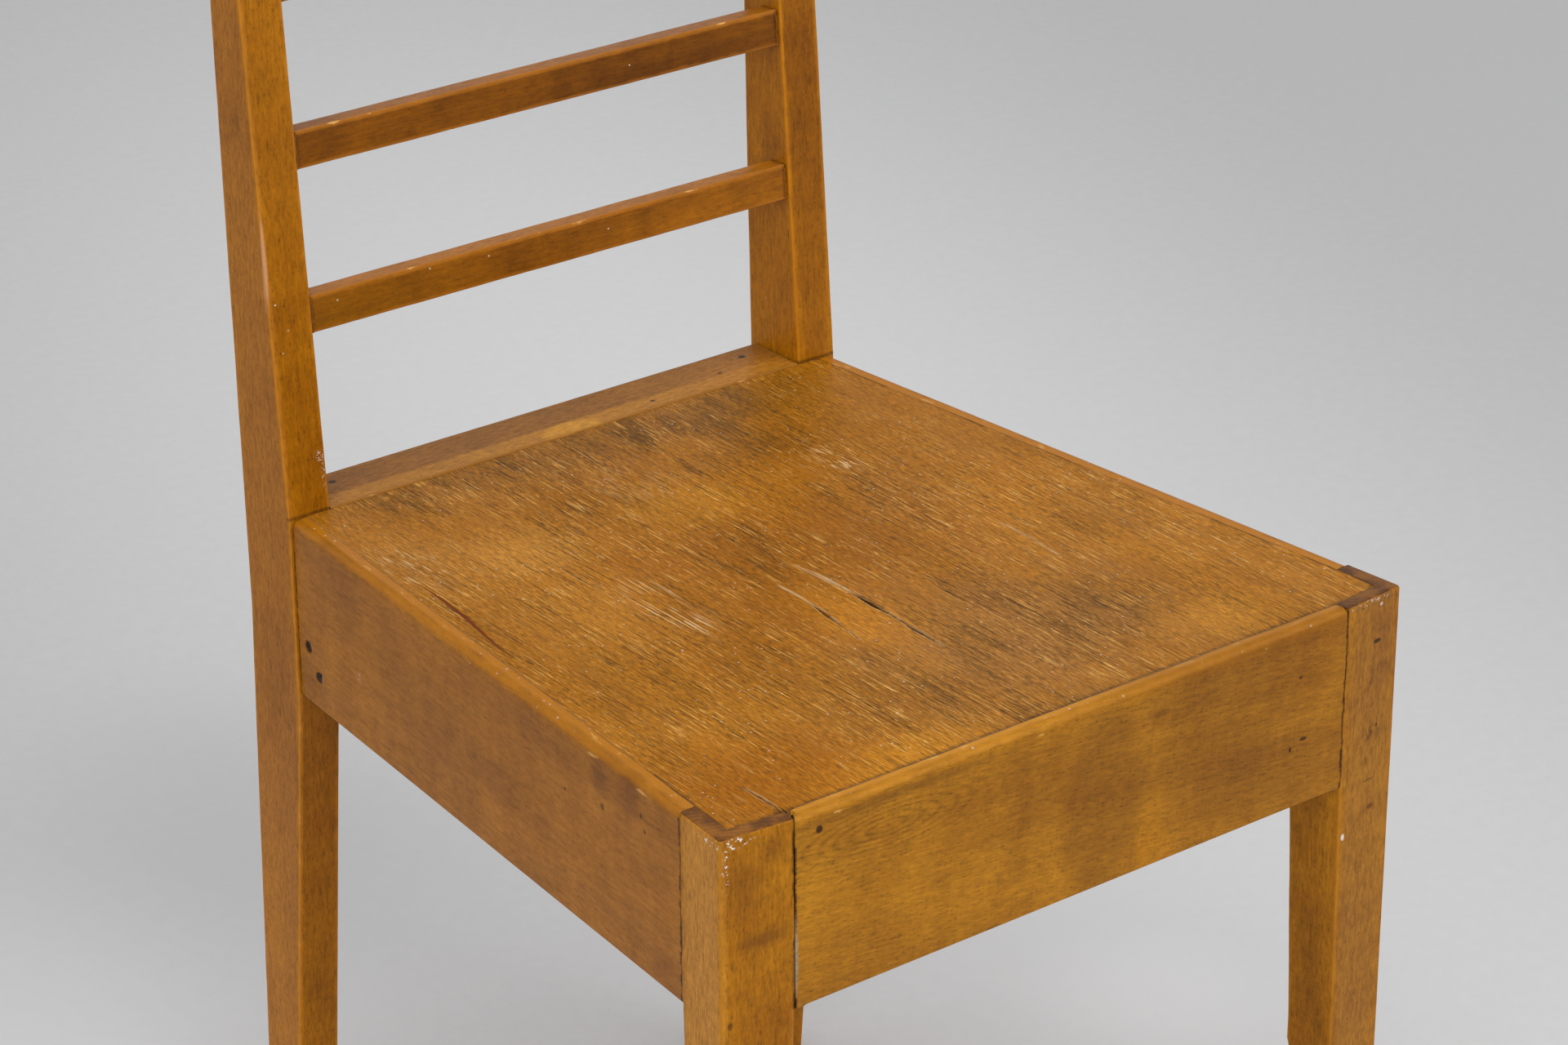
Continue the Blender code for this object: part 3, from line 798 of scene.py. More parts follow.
class Timber:
    """A wooden solid on its way from coarse corners to a worn and dressed piece."""

    LAYERS = ("rub", "grime", "nick")
    SMALLEST_BORDER = 0.0007
    WAVE_DEPTH = 0.00006
    NICK_REACH = 0.002
    NICK_DEPTH = 0.0007

    def __init__(self, bm: Solid, is_joint: Test) -> None:
        """Notes the sharp lines of a coarse solid.

        Args:
            bm: The coarse solid.
            is_joint: Tells whether a place lies in a joint, where dirt gathers.
        """
        self.bm = bm
        self.is_joint = is_joint
        self.rubbed_and_highlit: list[Line] = []
        self.grimy: list[Line] = []
        self.nicked: list[Line] = []
        bmesh.ops.dissolve_limit(bm, angle_limit=NEARLY_FLAT, verts=bm.verts, edges=bm.edges)
        bmesh.ops.recalc_face_normals(bm, faces=bm.faces)
        for edge in self.sharp_edges():
            start, end = (vert.co.copy() for vert in edge.verts)
            (self.grimy if is_joint((start + end) / 2) else self.rubbed_and_highlit).append((start, end))

    def keep_fresh(self, is_fresh: Test) -> None:
        """Leaves the arrises whose middles pass a test unrubbed."""
        self.rubbed_and_highlit = [line for line in self.rubbed_and_highlit if not is_fresh((line[0] + line[1]) / 2)]

    def sharp_edges(self) -> list[Edge]:
        """Edges that stand out."""
        edges = (edge for edge in self.bm.edges if edge.is_manifold)
        return [edge for edge in edges if edge.calc_face_angle_signed() > SHARP]

    def bevel(self, edges: Sequence[Edge], radius: float, steps: int) -> None:
        """Rounds edges."""
        bmesh.ops.bevel(
            self.bm, geom=list(edges),
            offset=radius, segments=steps, profile=0.5, affect="EDGES", clamp_overlap=False,
            material=-1,
        )

    def round_over(self, radius: float, steps: int, wanted: EdgeTest) -> None:
        """Rounds the edges whose two ends pass a test."""
        edges = [edge for edge in self.bm.edges if wanted(*(vert.co for vert in edge.verts))]
        self.bevel(edges, radius, steps)

    def margins(self, width: float) -> None:
        """Adds an inset border to each open face, so that wear stays near the arrises.

        Args:
            width: Width of the border, which narrow faces keep smaller.
        """
        for face in list(self.bm.faces):
            breadth = 2 * face.calc_area() / face.calc_perimeter()
            inset = min(width, breadth * 0.35)
            if inset > self.SMALLEST_BORDER and not self.is_joint(face.calc_center_median()):
                bmesh.ops.inset_individual(
                    self.bm, faces=[face], thickness=inset, use_even_offset=True
                )

    def sliced(self, axis: Sequence[float], step: float, margin: float = 0.004) -> None:
        """Cuts the solid across an axis at even steps.

        Args:
            axis: Direction to step along.
            step: Distance between cuts.
            margin: Distance from the ends that is left uncut.
        """
        normal = Vector(axis).normalized()
        reaches = [vert.co.dot(normal) for vert in self.bm.verts]
        low, high = min(reaches) + margin, max(reaches) - margin
        count = max(int((high - low) / step), 1)
        for index in range(count + 1):
            cut(self.bm, normal * (low + (high - low) * index / count), normal)

    def eased(self, radius: float, spared: Test = lambda middle: False, steps: int = 3) -> None:
        """Eases every edge that is still sharp, but for those in joints and the spared ones.

        Args:
            radius: Radius of the easing.
            spared: Tells whether an edge with this middle stays sharp.
            steps: Faces across an eased edge.
        """
        edges = []
        for edge in self.sharp_edges():
            middle = (edge.verts[0].co + edge.verts[1].co) / 2
            if not self.is_joint(middle) and not spared(middle):
                edges.append(edge)
        self.bevel(edges, radius, steps)

    def refine(self, centre: Vector, radius: float, cuts: int) -> None:
        """Cuts the faces round a place finer.

        Args:
            centre: The place.
            radius: Distance that the finer faces reach.
            cuts: Cuts in each edge.
        """

        def is_near(edge: Edge) -> bool:
            """Tells whether both ends of an edge are within the radius."""
            return all((vert.co - centre).length < radius for vert in edge.verts)

        near = [edge for edge in self.bm.edges if is_near(edge)]
        bmesh.ops.subdivide_edges(self.bm, edges=near, cuts=cuts, use_grid_fill=True)

    def dent(self, centre: Vector, radius: float, depth: float, inward: Vector) -> None:
        """Presses a round hollow with steep sides into the wood.

        Args:
            centre: Middle of the hollow.
            radius: Its radius.
            depth: Its depth.
            inward: Direction into the wood.
        """
        for vert in self.bm.verts:
            offset = vert.co - centre
            if offset.length < radius * 2:
                aside = (offset - inward * offset.dot(inward)).length / radius
                aside *= 0.85 + 0.3 * ragged(vert.co, 900.0, 2.0)
                vert.co += inward * depth * max(0.0, min(1.0, (1.15 - aside) / 0.3))

    def wear(self, reach: float, depth: float, seed: float, dirt: float = 0.0025) -> None:
        """Wears the arrises down unevenly, and notes wear and dirt at each vertex.

        Args:
            reach: Distance from an arris over which it is worn, which also sets the width of its
                painted highlight.
            depth: Depth of the deepest wear.
            seed: Number that sets this piece's own pattern.
            dirt: Distance from a joint over which dirt shows.
        """
        bm = self.bm
        bm.normal_update()
        for name in self.LAYERS:
            bm.verts.layers.float.new(name)
        rub, grime, nick = (bm.verts.layers.float[name] for name in self.LAYERS)
        moves = []
        for vert in bm.verts:
            vert[nick] = nearness(vert.co, self.nicked, self.NICK_REACH)
            vert[rub] = nearness(vert.co, self.rubbed_and_highlit, reach)
            vert[grime] = nearness(vert.co, self.grimy, dirt)
            knocks = ragged(vert.co, 35.0, seed) * 0.6 + ragged(vert.co, 160.0, seed) * 0.4
            sink = vert[rub] ** 2 * depth * max(0.0, knocks - 0.25)
            waves = self.WAVE_DEPTH * ragged(vert.co, 18.0, seed)
            sink += waves + self.NICK_DEPTH * vert[nick] * max(0.0, knocks - 0.4)
            moves.append(vert.normal * -max(0.0, sink))
        for vert, move in zip(bm.verts, moves):
            vert.co += move
            vert.co.z = max(vert.co.z, 0.0)

    def ends(self, finish_index: int, wanted: Callable[[Face], bool]) -> None:
        """Gives the faces that pass a test another of the piece's finishes.

        Args:
            finish_index: Place of the finish among the piece's finishes.
            wanted: The test.
        """
        self.bm.normal_update()
        for face in self.bm.faces:
            if wanted(face):
                face.material_index = finish_index

    def piece(self, node: str, stuff: str, slot: Slot, *finishes: Material) -> Piece:
        """Turns the timber into a finished piece that stands for a CAD node.

        Args:
            node: CAD node that it replaces.
            stuff: What it is made of, which ends its name.
            slot: Material slot of the record; not used.
            finishes: Materials, in the order of the faces' indices.

        Returns:
            The piece.
        """
        name = f"{node}_{stuff}"
        mesh = bpy.data.meshes.new(name)
        self.bm.to_mesh(mesh)
        self.bm.free()
        for finish in finishes:
            mesh.materials.append(finish)
        mesh.shade_smooth()
        mesh.set_sharp_from_angle(angle=SHADED_SHARP)
        obj = bpy.data.objects.new(name, mesh)
        bpy.context.scene.collection.objects.link(obj)
        shading = obj.modifiers.new("even_shading", "WEIGHTED_NORMAL")
        shading.keep_sharp = True
        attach(obj, "root")
        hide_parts(node)
        return obj


@dataclass(frozen=True)
class SeatPlan:
    """Plan of the splayed seat frame that every piece is laid out from."""

    front_line: float = -0.23
    seat_height: float = 0.46
    seat_depth: float = 0.404
    front_width: float = 0.4177
    rear_width: float = 0.35
    apron_height: float = 0.0974
    apron_thickness: float = 0.022
    apron_inset: float = 0.0018
    panel_thickness: float = 0.008
    front_lip: float = 0.0074
    side_lip: float = 0.009
    leg_width: float = 0.0389
    leg_depth: float = 0.033
    post_width: float = 0.0245
    cap_width: float = 0.0375
    rake: float = math.radians(4.38)
    gap: float = 0.0003

    @property
    def splay(self) -> float:
        """Angle of the sides from front to rear."""
        run_in = (self.front_width - self.rear_width) / 2 + self.apron_inset
        return math.atan2(run_in, self.seat_depth)

    @property
    def apron_bottom(self) -> float:
        """Height of the lower edges of the aprons."""
        return self.seat_height - self.apron_height

    @property
    def rebate_floor(self) -> float:
        """Height of the ledge under the seat panel."""
        return self.seat_height - self.panel_thickness - self.gap

    @property
    def leg_start(self) -> float:
        """Distance along a side to the front face of the leg."""
        return self.leg_width * math.tan(self.splay)

    @property
    def leg_end(self) -> float:
        """Distance along a side to the rear face of the leg."""
        return self.leg_start + self.leg_depth

    @property
    def post_inner(self) -> float:
        """Distance of a post's inner face from the middle."""
        return self.rear_width / 2 - self.post_width

    @property
    def seat_rear(self) -> float:
        """World Y of the front faces of the posts."""
        return self.front_line + self.seat_depth

    def side_point(self, side: int, along: float, inward: float, height: float) -> Vector:
        """Point along the outer face of a splayed side.

        Args:
            side: -1 left, 1 right.
            along: Distance to the rear along the face.
            inward: Distance in from the face.
            height: Height above the floor.

        Returns:
            The point.
        """
        x = self.front_width / 2 - along * math.sin(self.splay) - inward * math.cos(self.splay)
        y = along * math.cos(self.splay) - inward * math.sin(self.splay)
        return Vector((side * x, y + self.front_line, height))

    def side_reaching(self, side: int, depth: float, inward: float, height: float) -> Vector:
        """Point of a side at a depth behind the front line."""
        along = (depth + inward * math.sin(self.splay)) / math.cos(self.splay)
        return self.side_point(side, along, inward, height)

    def inward(self, side: int) -> Vector:
        """Direction in from the outer face of a side."""
        return self.side_point(side, 0, 1, 0) - self.side_point(side, 0, 0, 0)

    def along(self, side: int) -> Vector:
        """Direction to the rear along a side."""
        return self.side_point(side, 1, 0, 0) - self.side_point(side, 0, 0, 0)

    def side_place(self, side: int, point: Vector) -> tuple[float, float]:
        """Distances of a point along a side and in from its face."""
        offset = point - self.side_point(side, 0, 0, 0)
        return offset.dot(self.along(side)), offset.dot(self.inward(side))


@dataclass
class FrontLegs:
    """Two front legs, tapered on their inner faces, their tops let in for the seat panel."""

    plan: SeatPlan
    foot_width: float = 0.0325
    foot_depth: float = 0.0221
    arris: float = 0.0018
    ease: float = 0.0008
    border: float = 0.004
    step: float = 0.0065
    cross_step: float = 0.0075
    cross_border: float = 0.0048
    rub_reach: float = 0.0024
    rub_depth: float = 0.0007
    joint_reach: float = 0.002
    paint: Colour = tone(232, 226, 218)
    brown: Colour = tone(92, 50, 14)
    dark: Colour = tone(40, 22, 10)
    flaked: Style = (0.2, 0.8, 420, 430)
    fleck: Style = (1.2, 420)
    rim: Style = (0.3, 0.8, 420)
    soft_edge: Style = (0.3, 0.2, 80)
    left_marks: Marks = (
        blot(-202, -226.8, 456.5, 7.5, 5, 2.8, paint, 0.9, *flaked),
        blot(-205.6, -226.2, 445, 1.8, 4, 12, paint, 0.9, *flaked),
        blot(-193, -227.8, 456.2, 6, 4, 1.4, paint, 0.8, *flaked),
        blot(-207.8, -215, 456, 3, 8, 1.6, paint, 0.8, *flaked),
        blot(-185.9, -228.6, 404.3, 11, 6, 3.5, brown, 0.55, 0.7, 0.5, 90),
        blot(-196, -228, 433, 8, 6, 12, brown, 0.35, 0.8, 0.8, 120),
        blot(-180, -229, 448, 5, 6, 6, brown, 0.4, 0.8, 0.6, 120),
        blot(-203.9, -227, 364.9, 1.2, 3, 1.8, dark, 0.6, 0.5),
    )
    right_marks: Marks = (
        blot(192.5, -228, 435.3, 2.6, 3, 1.2, dark, 0.85, 0.3),
        blot(195, -227.8, 388.4, 0.8, 3, 1, dark, 0.8, 0.3),
        blot(193.4, -227.9, 343.8, 2.4, 3, 1.4, brown, 0.8, 0.5, 0.8),
        blot(191, -228.1, 359.3, 4, 3, 0.6, brown, 0.6, 0.5, 0.6),
        blot(173.6, -229.7, 333.6, 1.1, 3, 1.7, paint, 0.8, 0.4, *fleck),
        blot(194.4, -227.8, 454.7, 1, 3, 0.8, paint, 0.5, 0.3, *fleck),
        blot(190, -228.1, 457.5, 17, 4, 1.8, tone(70, 48, 30), 0.8, *rim, 380),
        blot(186, -228.6, 458, 15, 4, 1.4, paint, 0.4, *rim, 620),
        blot(190, -228.1, 390, 4.5, 4, 28, tone(70, 40, 12), 0.6, 0.6, 0.8, 200, 300, 0.4),
    )
    left_painted_light: Marks = (
        # Painted sheen: a lighter, greyer tint over the left leg's outer left face.
        blot(-207.5, -211, 360, 3, 18, 300, tone(206, 143, 58), 0.45, *soft_edge),
    )
    right_painted_light_and_tints: Marks = (
        # Painted shade on the right leg's inner face.
        blot(170, -210, 200, 5, 15, 190, tone(120, 68, 4), 0.35, *soft_edge),
        blot(190, -228.5, 360, 17, 4, 300, tone(132, 96, 50), 0.3, *soft_edge),
    )

    def build(self) -> list[Piece]:
        """Both legs."""
        return [self.leg(label, side) for label, side in SIDES.items()]

    def coarse(self, side: int) -> Solid:
        """Makes a leg with sharp edges and the ledge for the panel.

        Args:
            side: -1 left, 1 right.

        Returns:
            The solid.
        """
        plan = self.plan

        def section(width: float, depth: float, height: float) -> list[Vector]:
            """Corners of the leg at a height."""
            corners = ((0.0, 0.0), (0.0, width), (depth, width), (depth, 0.0))
            return [plan.side_point(side, plan.leg_start + x, y, height) for x, y in corners]

        bm = loft(
            section(self.foot_width, self.foot_depth, 0),
            section(plan.leg_width, plan.leg_depth, plan.apron_bottom),
            section(plan.leg_width, plan.leg_depth, plan.rebate_floor),
        )
        lip_end = plan.leg_start + plan.front_lip
        cut(bm, plan.side_point(side, 0, plan.side_lip, 0), plan.inward(side))
        cut(bm, plan.side_point(side, lip_end, 0, 0), plan.along(side))
        lips = []
        for face in bm.faces:
            middle = face.calc_center_median()
            along, inward = plan.side_place(side, middle)
            is_top = middle.z > plan.rebate_floor - plan.gap
            if is_top and (inward < plan.side_lip or along < lip_end):
                lips.append(face)
        raised = bmesh.ops.extrude_face_region(bm, geom=lips)["geom"]
        bmesh.ops.delete(bm, geom=lips, context="FACES_ONLY")
        verts = [item for item in raised if isinstance(item, bmesh.types.BMVert)]
        bmesh.ops.translate(bm, verts=verts, vec=(0, 0, plan.seat_height - plan.rebate_floor))
        return bm

    def is_joint(self, side: int, place: Vector) -> bool:
        """Tells whether a place lies against an apron or the seat panel.

        Args:
            side: -1 left, 1 right.
            place: Place on the leg.

        Returns:
            Whether it does.
        """
        plan, near = self.plan, self.joint_reach
        if place.z < plan.apron_bottom + plan.gap:
            return False
        along, inward = plan.side_place(side, place)
        by_front_apron = inward > plan.leg_width - near
        by_side_apron = along > plan.leg_end - near
        by_panel = inward > plan.side_lip - near and along > plan.leg_start + plan.front_lip - near
        return by_front_apron or by_side_apron or (by_panel and place.z > plan.rebate_floor - near)

    def leg(self, label: str, side: int) -> Piece:
        """Builds one leg.

        Args:
            label: Side of the leg.
            side: -1 left, 1 right.

        Returns:
            The piece.
        """
        plan = self.plan
        corner = plan.side_point(side, plan.leg_start, 0, 0).xy
        timber = Timber(self.coarse(side), lambda place: self.is_joint(side, place))

        def is_outer_arris(a: Vector, b: Vector) -> bool:
            """Tells whether an edge is the leg's outer corner or the outer rim of its top.

            Args:
                a: One end of the edge.
                b: Its other end.

            Returns:
                Whether it is.
            """
            upright = all((point.xy - corner).length < plan.gap for point in (a, b))
            along, inward = plan.side_place(side, (a + b) / 2)
            outer = min(inward, along - plan.leg_start) < plan.gap
            return upright or (outer and min(a.z, b.z) > plan.seat_height - plan.gap)

        timber.keep_fresh(lambda middle: middle.z > plan.rebate_floor)
        timber.round_over(self.arris, 4, is_outer_arris)
        timber.margins(self.border)
        timber.sliced(UP, self.step)
        timber.sliced(plan.inward(side), self.cross_step, self.cross_border)
        timber.sliced(plan.along(side), self.cross_step, self.cross_border)
        timber.eased(self.ease)
        timber.wear(self.rub_reach, self.rub_depth, seed=3.0 + side)
        timber.ends(1, lambda face: abs(face.normal.z) > 0.8)
        finish = VarnishedBeech(
            Grain.ALONG_Z, seed=4.2 + side * 1.3, rubbed_and_highlit=tone(182, 117, 24), speckle=1.2,
            tints=self.left_painted_light if side < 0 else self.right_painted_light_and_tints,
            marks=self.left_marks if side < 0 else self.right_marks,
        )
        end = EndGrain(tone(150, 94, 32), tone(98, 58, 19)) if side < 0 else EndGrain()
        return timber.piece(
            f"{label}_front_leg", "wood", Slot.FRAME,
            finish.material(f"{label}_leg_varnish"), end.material(f"{label}_leg_end_grain"),
        )


@dataclass
class RearPosts:
    """Two rear posts, each one piece from the foot to the top of the back."""

    plan: SeatPlan
    top: float = 0.8367
    top_depth: float = 0.0209
    top_round: float = 0.003
    bend_depth: float = 0.0418
    bend_height: float = 0.4
    taper_height: float = 0.3526
    foot_depth: float = 0.0242
    foot_setback: float = 0.0318
    ease: float = 0.0009
    border: float = 0.0045
    step: float = 0.0075
    cross_step: float = 0.008
    rub_reach: float = 0.0019
    rub_depth: float = 0.0006
    paint: Colour = tone(228, 220, 208)
    shade: Colour = tone(118, 66, 3)
    flaked: Style = (0.3, 0.6, 500, 900)
    speck: Style = (0.7, 0.4)
    dirt: Mark = blot(0, 174, 460.6, 200, 4, 1.2, tone(44, 26, 12), 0.75, 0.6, 0.6)
    left_marks: Marks = (
        dirt,
        blot(-153.5, 176.3, 489.7, 3.4, 3, 3, paint, 0.6, *flaked),
        blot(-152.5, 175.4, 478.7, 1, 3, 9, paint, 0.45, *flaked),
        blot(-170.8, 182.7, 573.4, 0.6, 3, 0.4, paint, *speck),
        blot(-164.8, 181.6, 558.7, 0.4, 3, 0.3, paint, *speck),
        blot(-168.9, 180.7, 547.8, 0.4, 3, 0.3, paint, *speck),
        blot(-174.4, 184.6, 600, 1, 2, 30, tone(216, 168, 132), 0.5, 0.4, 0.5),
    )
    left_painted_light: Marks = (
        # Painted shade on the lower front of the left post.
        blot(-163, 178, 200, 20, 30, 260, shade, 0.3, 0.2, 0.2, 80),
        # Painted sheen: a lighter, greyer tint over the left post's outer face.
        blot(-174.5, 200, 500, 2, 60, 600, tone(176, 114, 50), 0.3, 0.2, 0.2, 80),
    )
    right_painted_light_and_tints: Marks = (
        # Painted shade over the front of the right post.
        blot(163, 184, 650, 10.5, 22, 300, shade, 0.35, 0.15, 0.2, 80),
        # Painted light on the right post's inner face.
        blot(150.5, 205, 650, 1.6, 50, 300, tone(196, 126, 14), 0.28, 0.3, 0.2, 80),
    )

    def build(self) -> list[Piece]:
        """Both posts."""
        return [self.post(label, side) for label, side in SIDES.items()]

    def front_at(self, height: float) -> float:
        """World Y of the front face.

        Args:
            height: Height above the floor.

        Returns:
            Its Y there.
        """
        plan = self.plan
        if height < self.taper_height:
            return plan.seat_rear + self.foot_setback * (1 - height / self.taper_height)
        return plan.seat_rear + max(0.0, height - plan.seat_height) * math.tan(plan.rake)

    def back_at(self, height: float) -> float:
        """World Y of the back face.

        Args:
            height: Height above the floor.

        Returns:
            Its Y there.
        """
        foot = self.plan.seat_rear + self.foot_setback + self.foot_depth
        bend = self.plan.seat_rear + self.bend_depth
        if height < self.bend_height:
            return foot + (bend - foot) * height / self.bend_height
        share = (height - self.bend_height) / (self.top - self.bend_height)
        return bend + (self.front_at(self.top) + self.top_depth - bend) * share

    def section(self, side: int, height: float) -> list[Vector]:
        """Makes the corners of a post at a height.

        Args:
            side: -1 left, 1 right.
            height: Height above the floor.

        Returns:
            The four corners.
        """
        inner, outer = side * self.plan.post_inner, side * self.plan.rear_width / 2
        front, back = self.front_at(height), self.back_at(height)
        corners = ((inner, front), (outer, front), (outer, back), (inner, back))
        return [Vector((*corner, height)) for corner in corners]

    def post(self, label: str, side: int) -> Piece:
        """Builds one post.

        Args:
            label: Side of the post.
            side: -1 left, 1 right.

        Returns:
            The piece.
        """
        plan = self.plan
        heights = (0.0, self.taper_height, self.bend_height, plan.seat_height, self.top)
        solid = loft(*(self.section(side, height) for height in heights))
        timber = Timber(solid, lambda place: False)
        timber.round_over(self.top_round, 3, lambda a, b: min(a.z, b.z) > self.top - plan.gap)
        timber.margins(self.border)
        timber.sliced(UP, self.step)
        timber.sliced(ACROSS, self.cross_step, self.border)
        timber.eased(self.ease)
        timber.wear(self.rub_reach, self.rub_depth, seed=8.0 + side)
        timber.ends(1, lambda face: face.normal.z < -0.8)
        finish = VarnishedBeech(
            Grain.ALONG_Z, seed=9.4 + side * 2.1, pale=tone(174, 110, 8), deep=tone(138, 80, 4),
            fleck=0.22,
            tints=self.left_painted_light if side < 0 else self.right_painted_light_and_tints,
            marks=self.left_marks if side < 0 else (self.dirt,),
        )
        return timber.piece(
            f"{label}_rear_post", "wood", Slot.FRAME,
            finish.material(f"{label}_post_varnish"),
            EndGrain().material(f"{label}_post_end_grain"),
        )


@dataclass
class Aprons:
    """Front and side aprons with a ledge for the panel and a rounded outer top edge."""

    plan: SeatPlan
    top_round: float = 0.0045
    ease: float = 0.0007
    border: float = 0.004
    step: float = 0.0055
    end_border: float = 0.006
    height_step: float = 0.01
    height_border: float = 0.016
    joint_reach: float = 0.003
    ledge_reach: float = 0.001
    left_seam: float = 0.0007
    right_seam: float = 0.00028
    front_rub: Corner = (0.0048, 0.0009)
    side_rub: Corner = (0.0056, 0.0008)
    chip: Corner = (0.0024, 0.0022)
    chip_run: Triple = (0.3, -0.2, -0.9)
    nail_places: tuple[Corner, ...] = ((0.0106, 0.0662), (0.0207, 0.08))
    nail_hole: Corner = (0.0027, 0.0014)
    knock: Colour = tone(44, 24, 12)
    brown: Colour = tone(96, 54, 14)
    black: Colour = tone(10, 7, 5)
    cloudy: Style = (0.8, 0.9, 50)
    front_marks: Marks = (
        blot(100, -227, 460, 90, 10, 6, tone(148, 90, 12), 0.5, 0.5, 0.6, 60),
        blot(-155.3, -230, 449.8, 1.9, 3, 1.9, knock, 0.9, 0.3),
        blot(139.6, -230, 432.5, 1.2, 3, 0.8, knock, 0.7, 0.4),
        blot(142.9, -230, 398.4, 2.4, 3, 0.9, knock, 0.85, 0.3),
        blot(134.4, -230, 394.9, 0.9, 3, 1.3, knock, 0.85, 0.3),
        blot(48, -230, 442, 4, 4, 2, brown, 0.45, 0.7, 0.6, 160),
        blot(-170.2, -227, 389, 3, 5, 24, tone(168, 150, 122), 0.8, 0.3, 0.9, 500),
        blot(-170.5, -230, 364.5, 1.6, 4, 2.6, black, 1, 0.3),
        blot(-169.5, -226, 459, 1.8, 4, 3, black, 1, 0.3, 0.6),
    )
    front_tints: Marks = (
        blot(13, -230, 405, 23, 10, 48, brown, 0.34, 0.3, 0.9, 60),
        blot(-25, -230, 420, 26, 10, 26, brown, 0.2, *cloudy),
        blot(90, -230, 410, 45, 10, 26, brown, 0.38, *cloudy),
        blot(130, -230, 380, 50, 10, 20, brown, 0.3, *cloudy),
        blot(80, -230, 446, 55, 10, 13, brown, 0.34, 0.8, 0.8, 50),
        blot(-110, -230, 453, 50, 10, 2.2, tone(122, 78, 18), 0.6, 0.8, 0.5, 90),
        blot(44, -230, 375, 9, 10, 20, tone(184, 120, 16), 0.36, 0.5, 0.8, 60),
    )

    def build(self) -> list[Piece]:
        """The front apron, then the left and the right one."""
        return [self.front()] + [self.side(label, side) for label, side in SIDES.items()]

    def section(self, lip: float) -> list[Corner]:
        """Corners of an apron with a lip of this width, as (inward, height) pairs."""
        plan = self.plan
        return [
            (0.0, plan.seat_height),
            (lip, plan.seat_height),
            (lip, plan.rebate_floor),
            (plan.apron_thickness, plan.rebate_floor),
            (plan.apron_thickness, plan.apron_bottom),
            (0.0, plan.apron_bottom),
        ]

    def worked(
        self, timber: Timber, axis: Sequence[float], lip: float, inward: Callable[[Vector], float]
    ) -> None:
        """Rounds the outer top edge of an apron, cuts its faces finer and eases its edges.

        Args:
            timber: The coarse apron.
            axis: Direction that it runs in.
            lip: Width of its lip beside the panel.
            inward: Gives the distance of a place in from the outer face.
        """
        plan = self.plan

        def is_top_arris(a: Vector, b: Vector) -> bool:
            """Tells whether an edge is the outer top arris."""
            is_outer = max(inward(a), inward(b)) < plan.gap
            return is_outer and min(a.z, b.z) > plan.seat_height - plan.gap

        def is_ledge(middle: Vector) -> bool:
            """Tells whether an edge lies at the ledge, against the panel."""
            is_high = middle.z > plan.rebate_floor - self.ledge_reach
            return is_high and inward(middle) > lip - self.ledge_reach

        timber.round_over(self.top_round, 6, is_top_arris)
        timber.margins(self.border)
        timber.sliced(axis, self.step, self.end_border)
        timber.sliced(UP, self.height_step, self.height_border)
        timber.eased(self.ease, is_ledge)

    def front(self) -> Piece:
        """Builds the front apron, its ends cut to the turned faces of the legs.

        Returns:
            The piece.
        """
        plan = self.plan
        section = self.section(plan.front_lip)
        ends = []
        for side, seam in ((-1, self.left_seam), (1, self.right_seam)):
            inset = plan.leg_width + seam
            ends.append([plan.side_reaching(side, depth, inset, z) for depth, z in section])
        inset = plan.leg_width + self.left_seam
        inner_end = plan.side_reaching(1, plan.apron_thickness, inset, 0)
        shoulder = abs(inner_end.x) - self.joint_reach
        timber = Timber(loft(*ends), lambda place: abs(place.x) > shoulder)
        timber.keep_fresh(lambda middle: middle.z < plan.apron_bottom + plan.gap)

        def run_along(inward: float, drop: float) -> Line:
            """Line from leg to leg near the top arris."""
            y, z = plan.front_line + inward, plan.seat_height - drop
            return Vector((-shoulder, y, z)), Vector((shoulder, y, z))

        timber.nicked.append(run_along(0.0, self.top_round * 1.15))
        timber.rubbed_and_highlit.append(run_along(plan.front_lip * 0.75, 0.0))
        self.worked(timber, ACROSS, plan.front_lip, lambda place: place.y - plan.front_line)
        timber.wear(*self.front_rub, seed=1.0)
        chip = plan.side_reaching(-1, plan.front_lip - 0.001, inset, plan.seat_height)
        timber.refine(chip, 0.009, 3)
        timber.dent(chip, *self.chip, Vector(self.chip_run).normalized())
        finish = VarnishedBeech(
            Grain.ALONG_X, seed=2.6, tilt=(0.0, 0.09, 0.0),
            pale=tone(178, 119, 23), deep=tone(140, 86, 13), rubbed_and_highlit=tone(206, 138, 32),
            sparkle=0.6, tints=self.front_tints, marks=self.front_marks,
            figure=Figure((-0.117, plan.front_line, 0.4385), (0.036, 0.1, 0.0085)),
        )
        varnish = finish.material("front_apron_varnish")
        return timber.piece("front_apron", "wood", Slot.FRAME, varnish)

    def nails(self, side: int) -> list[Vector]:
        """Places of the two nails of a side apron, on its outer face."""
        plan = self.plan
        return [
            plan.side_reaching(side, plan.seat_depth - ahead, 0, plan.seat_height - drop)
            for ahead, drop in self.nail_places
        ]

    def side(self, label: str, side: int) -> Piece:
        """Builds one side apron.

        Args:
            label: Side of the apron.
            side: -1 left, 1 right.

        Returns:
            The piece.
        """
        plan, seam = self.plan, self.right_seam
        start, depth = plan.leg_end + seam, plan.seat_depth - seam
        section = self.section(plan.side_lip)
        solid = loft(
            [plan.side_point(side, start, inward, z) for inward, z in section],
            [plan.side_reaching(side, depth, inward, z) for inward, z in section],
        )
        front, rear = plan.leg_end + self.joint_reach, plan.seat_rear - self.joint_reach

        def is_joint(place: Vector) -> bool:
            """Tells whether a place lies at an end of the apron."""
            return plan.side_place(side, place)[0] < front or place.y > rear

        def run_along(inward: float, drop: float) -> Line:
            """Line from leg to post near the top arris."""
            rest = (inward, plan.seat_height - drop)
            start, end = (side, plan.leg_end, *rest), (side, plan.seat_depth, *rest)
            return plan.side_point(*start), plan.side_reaching(*end)

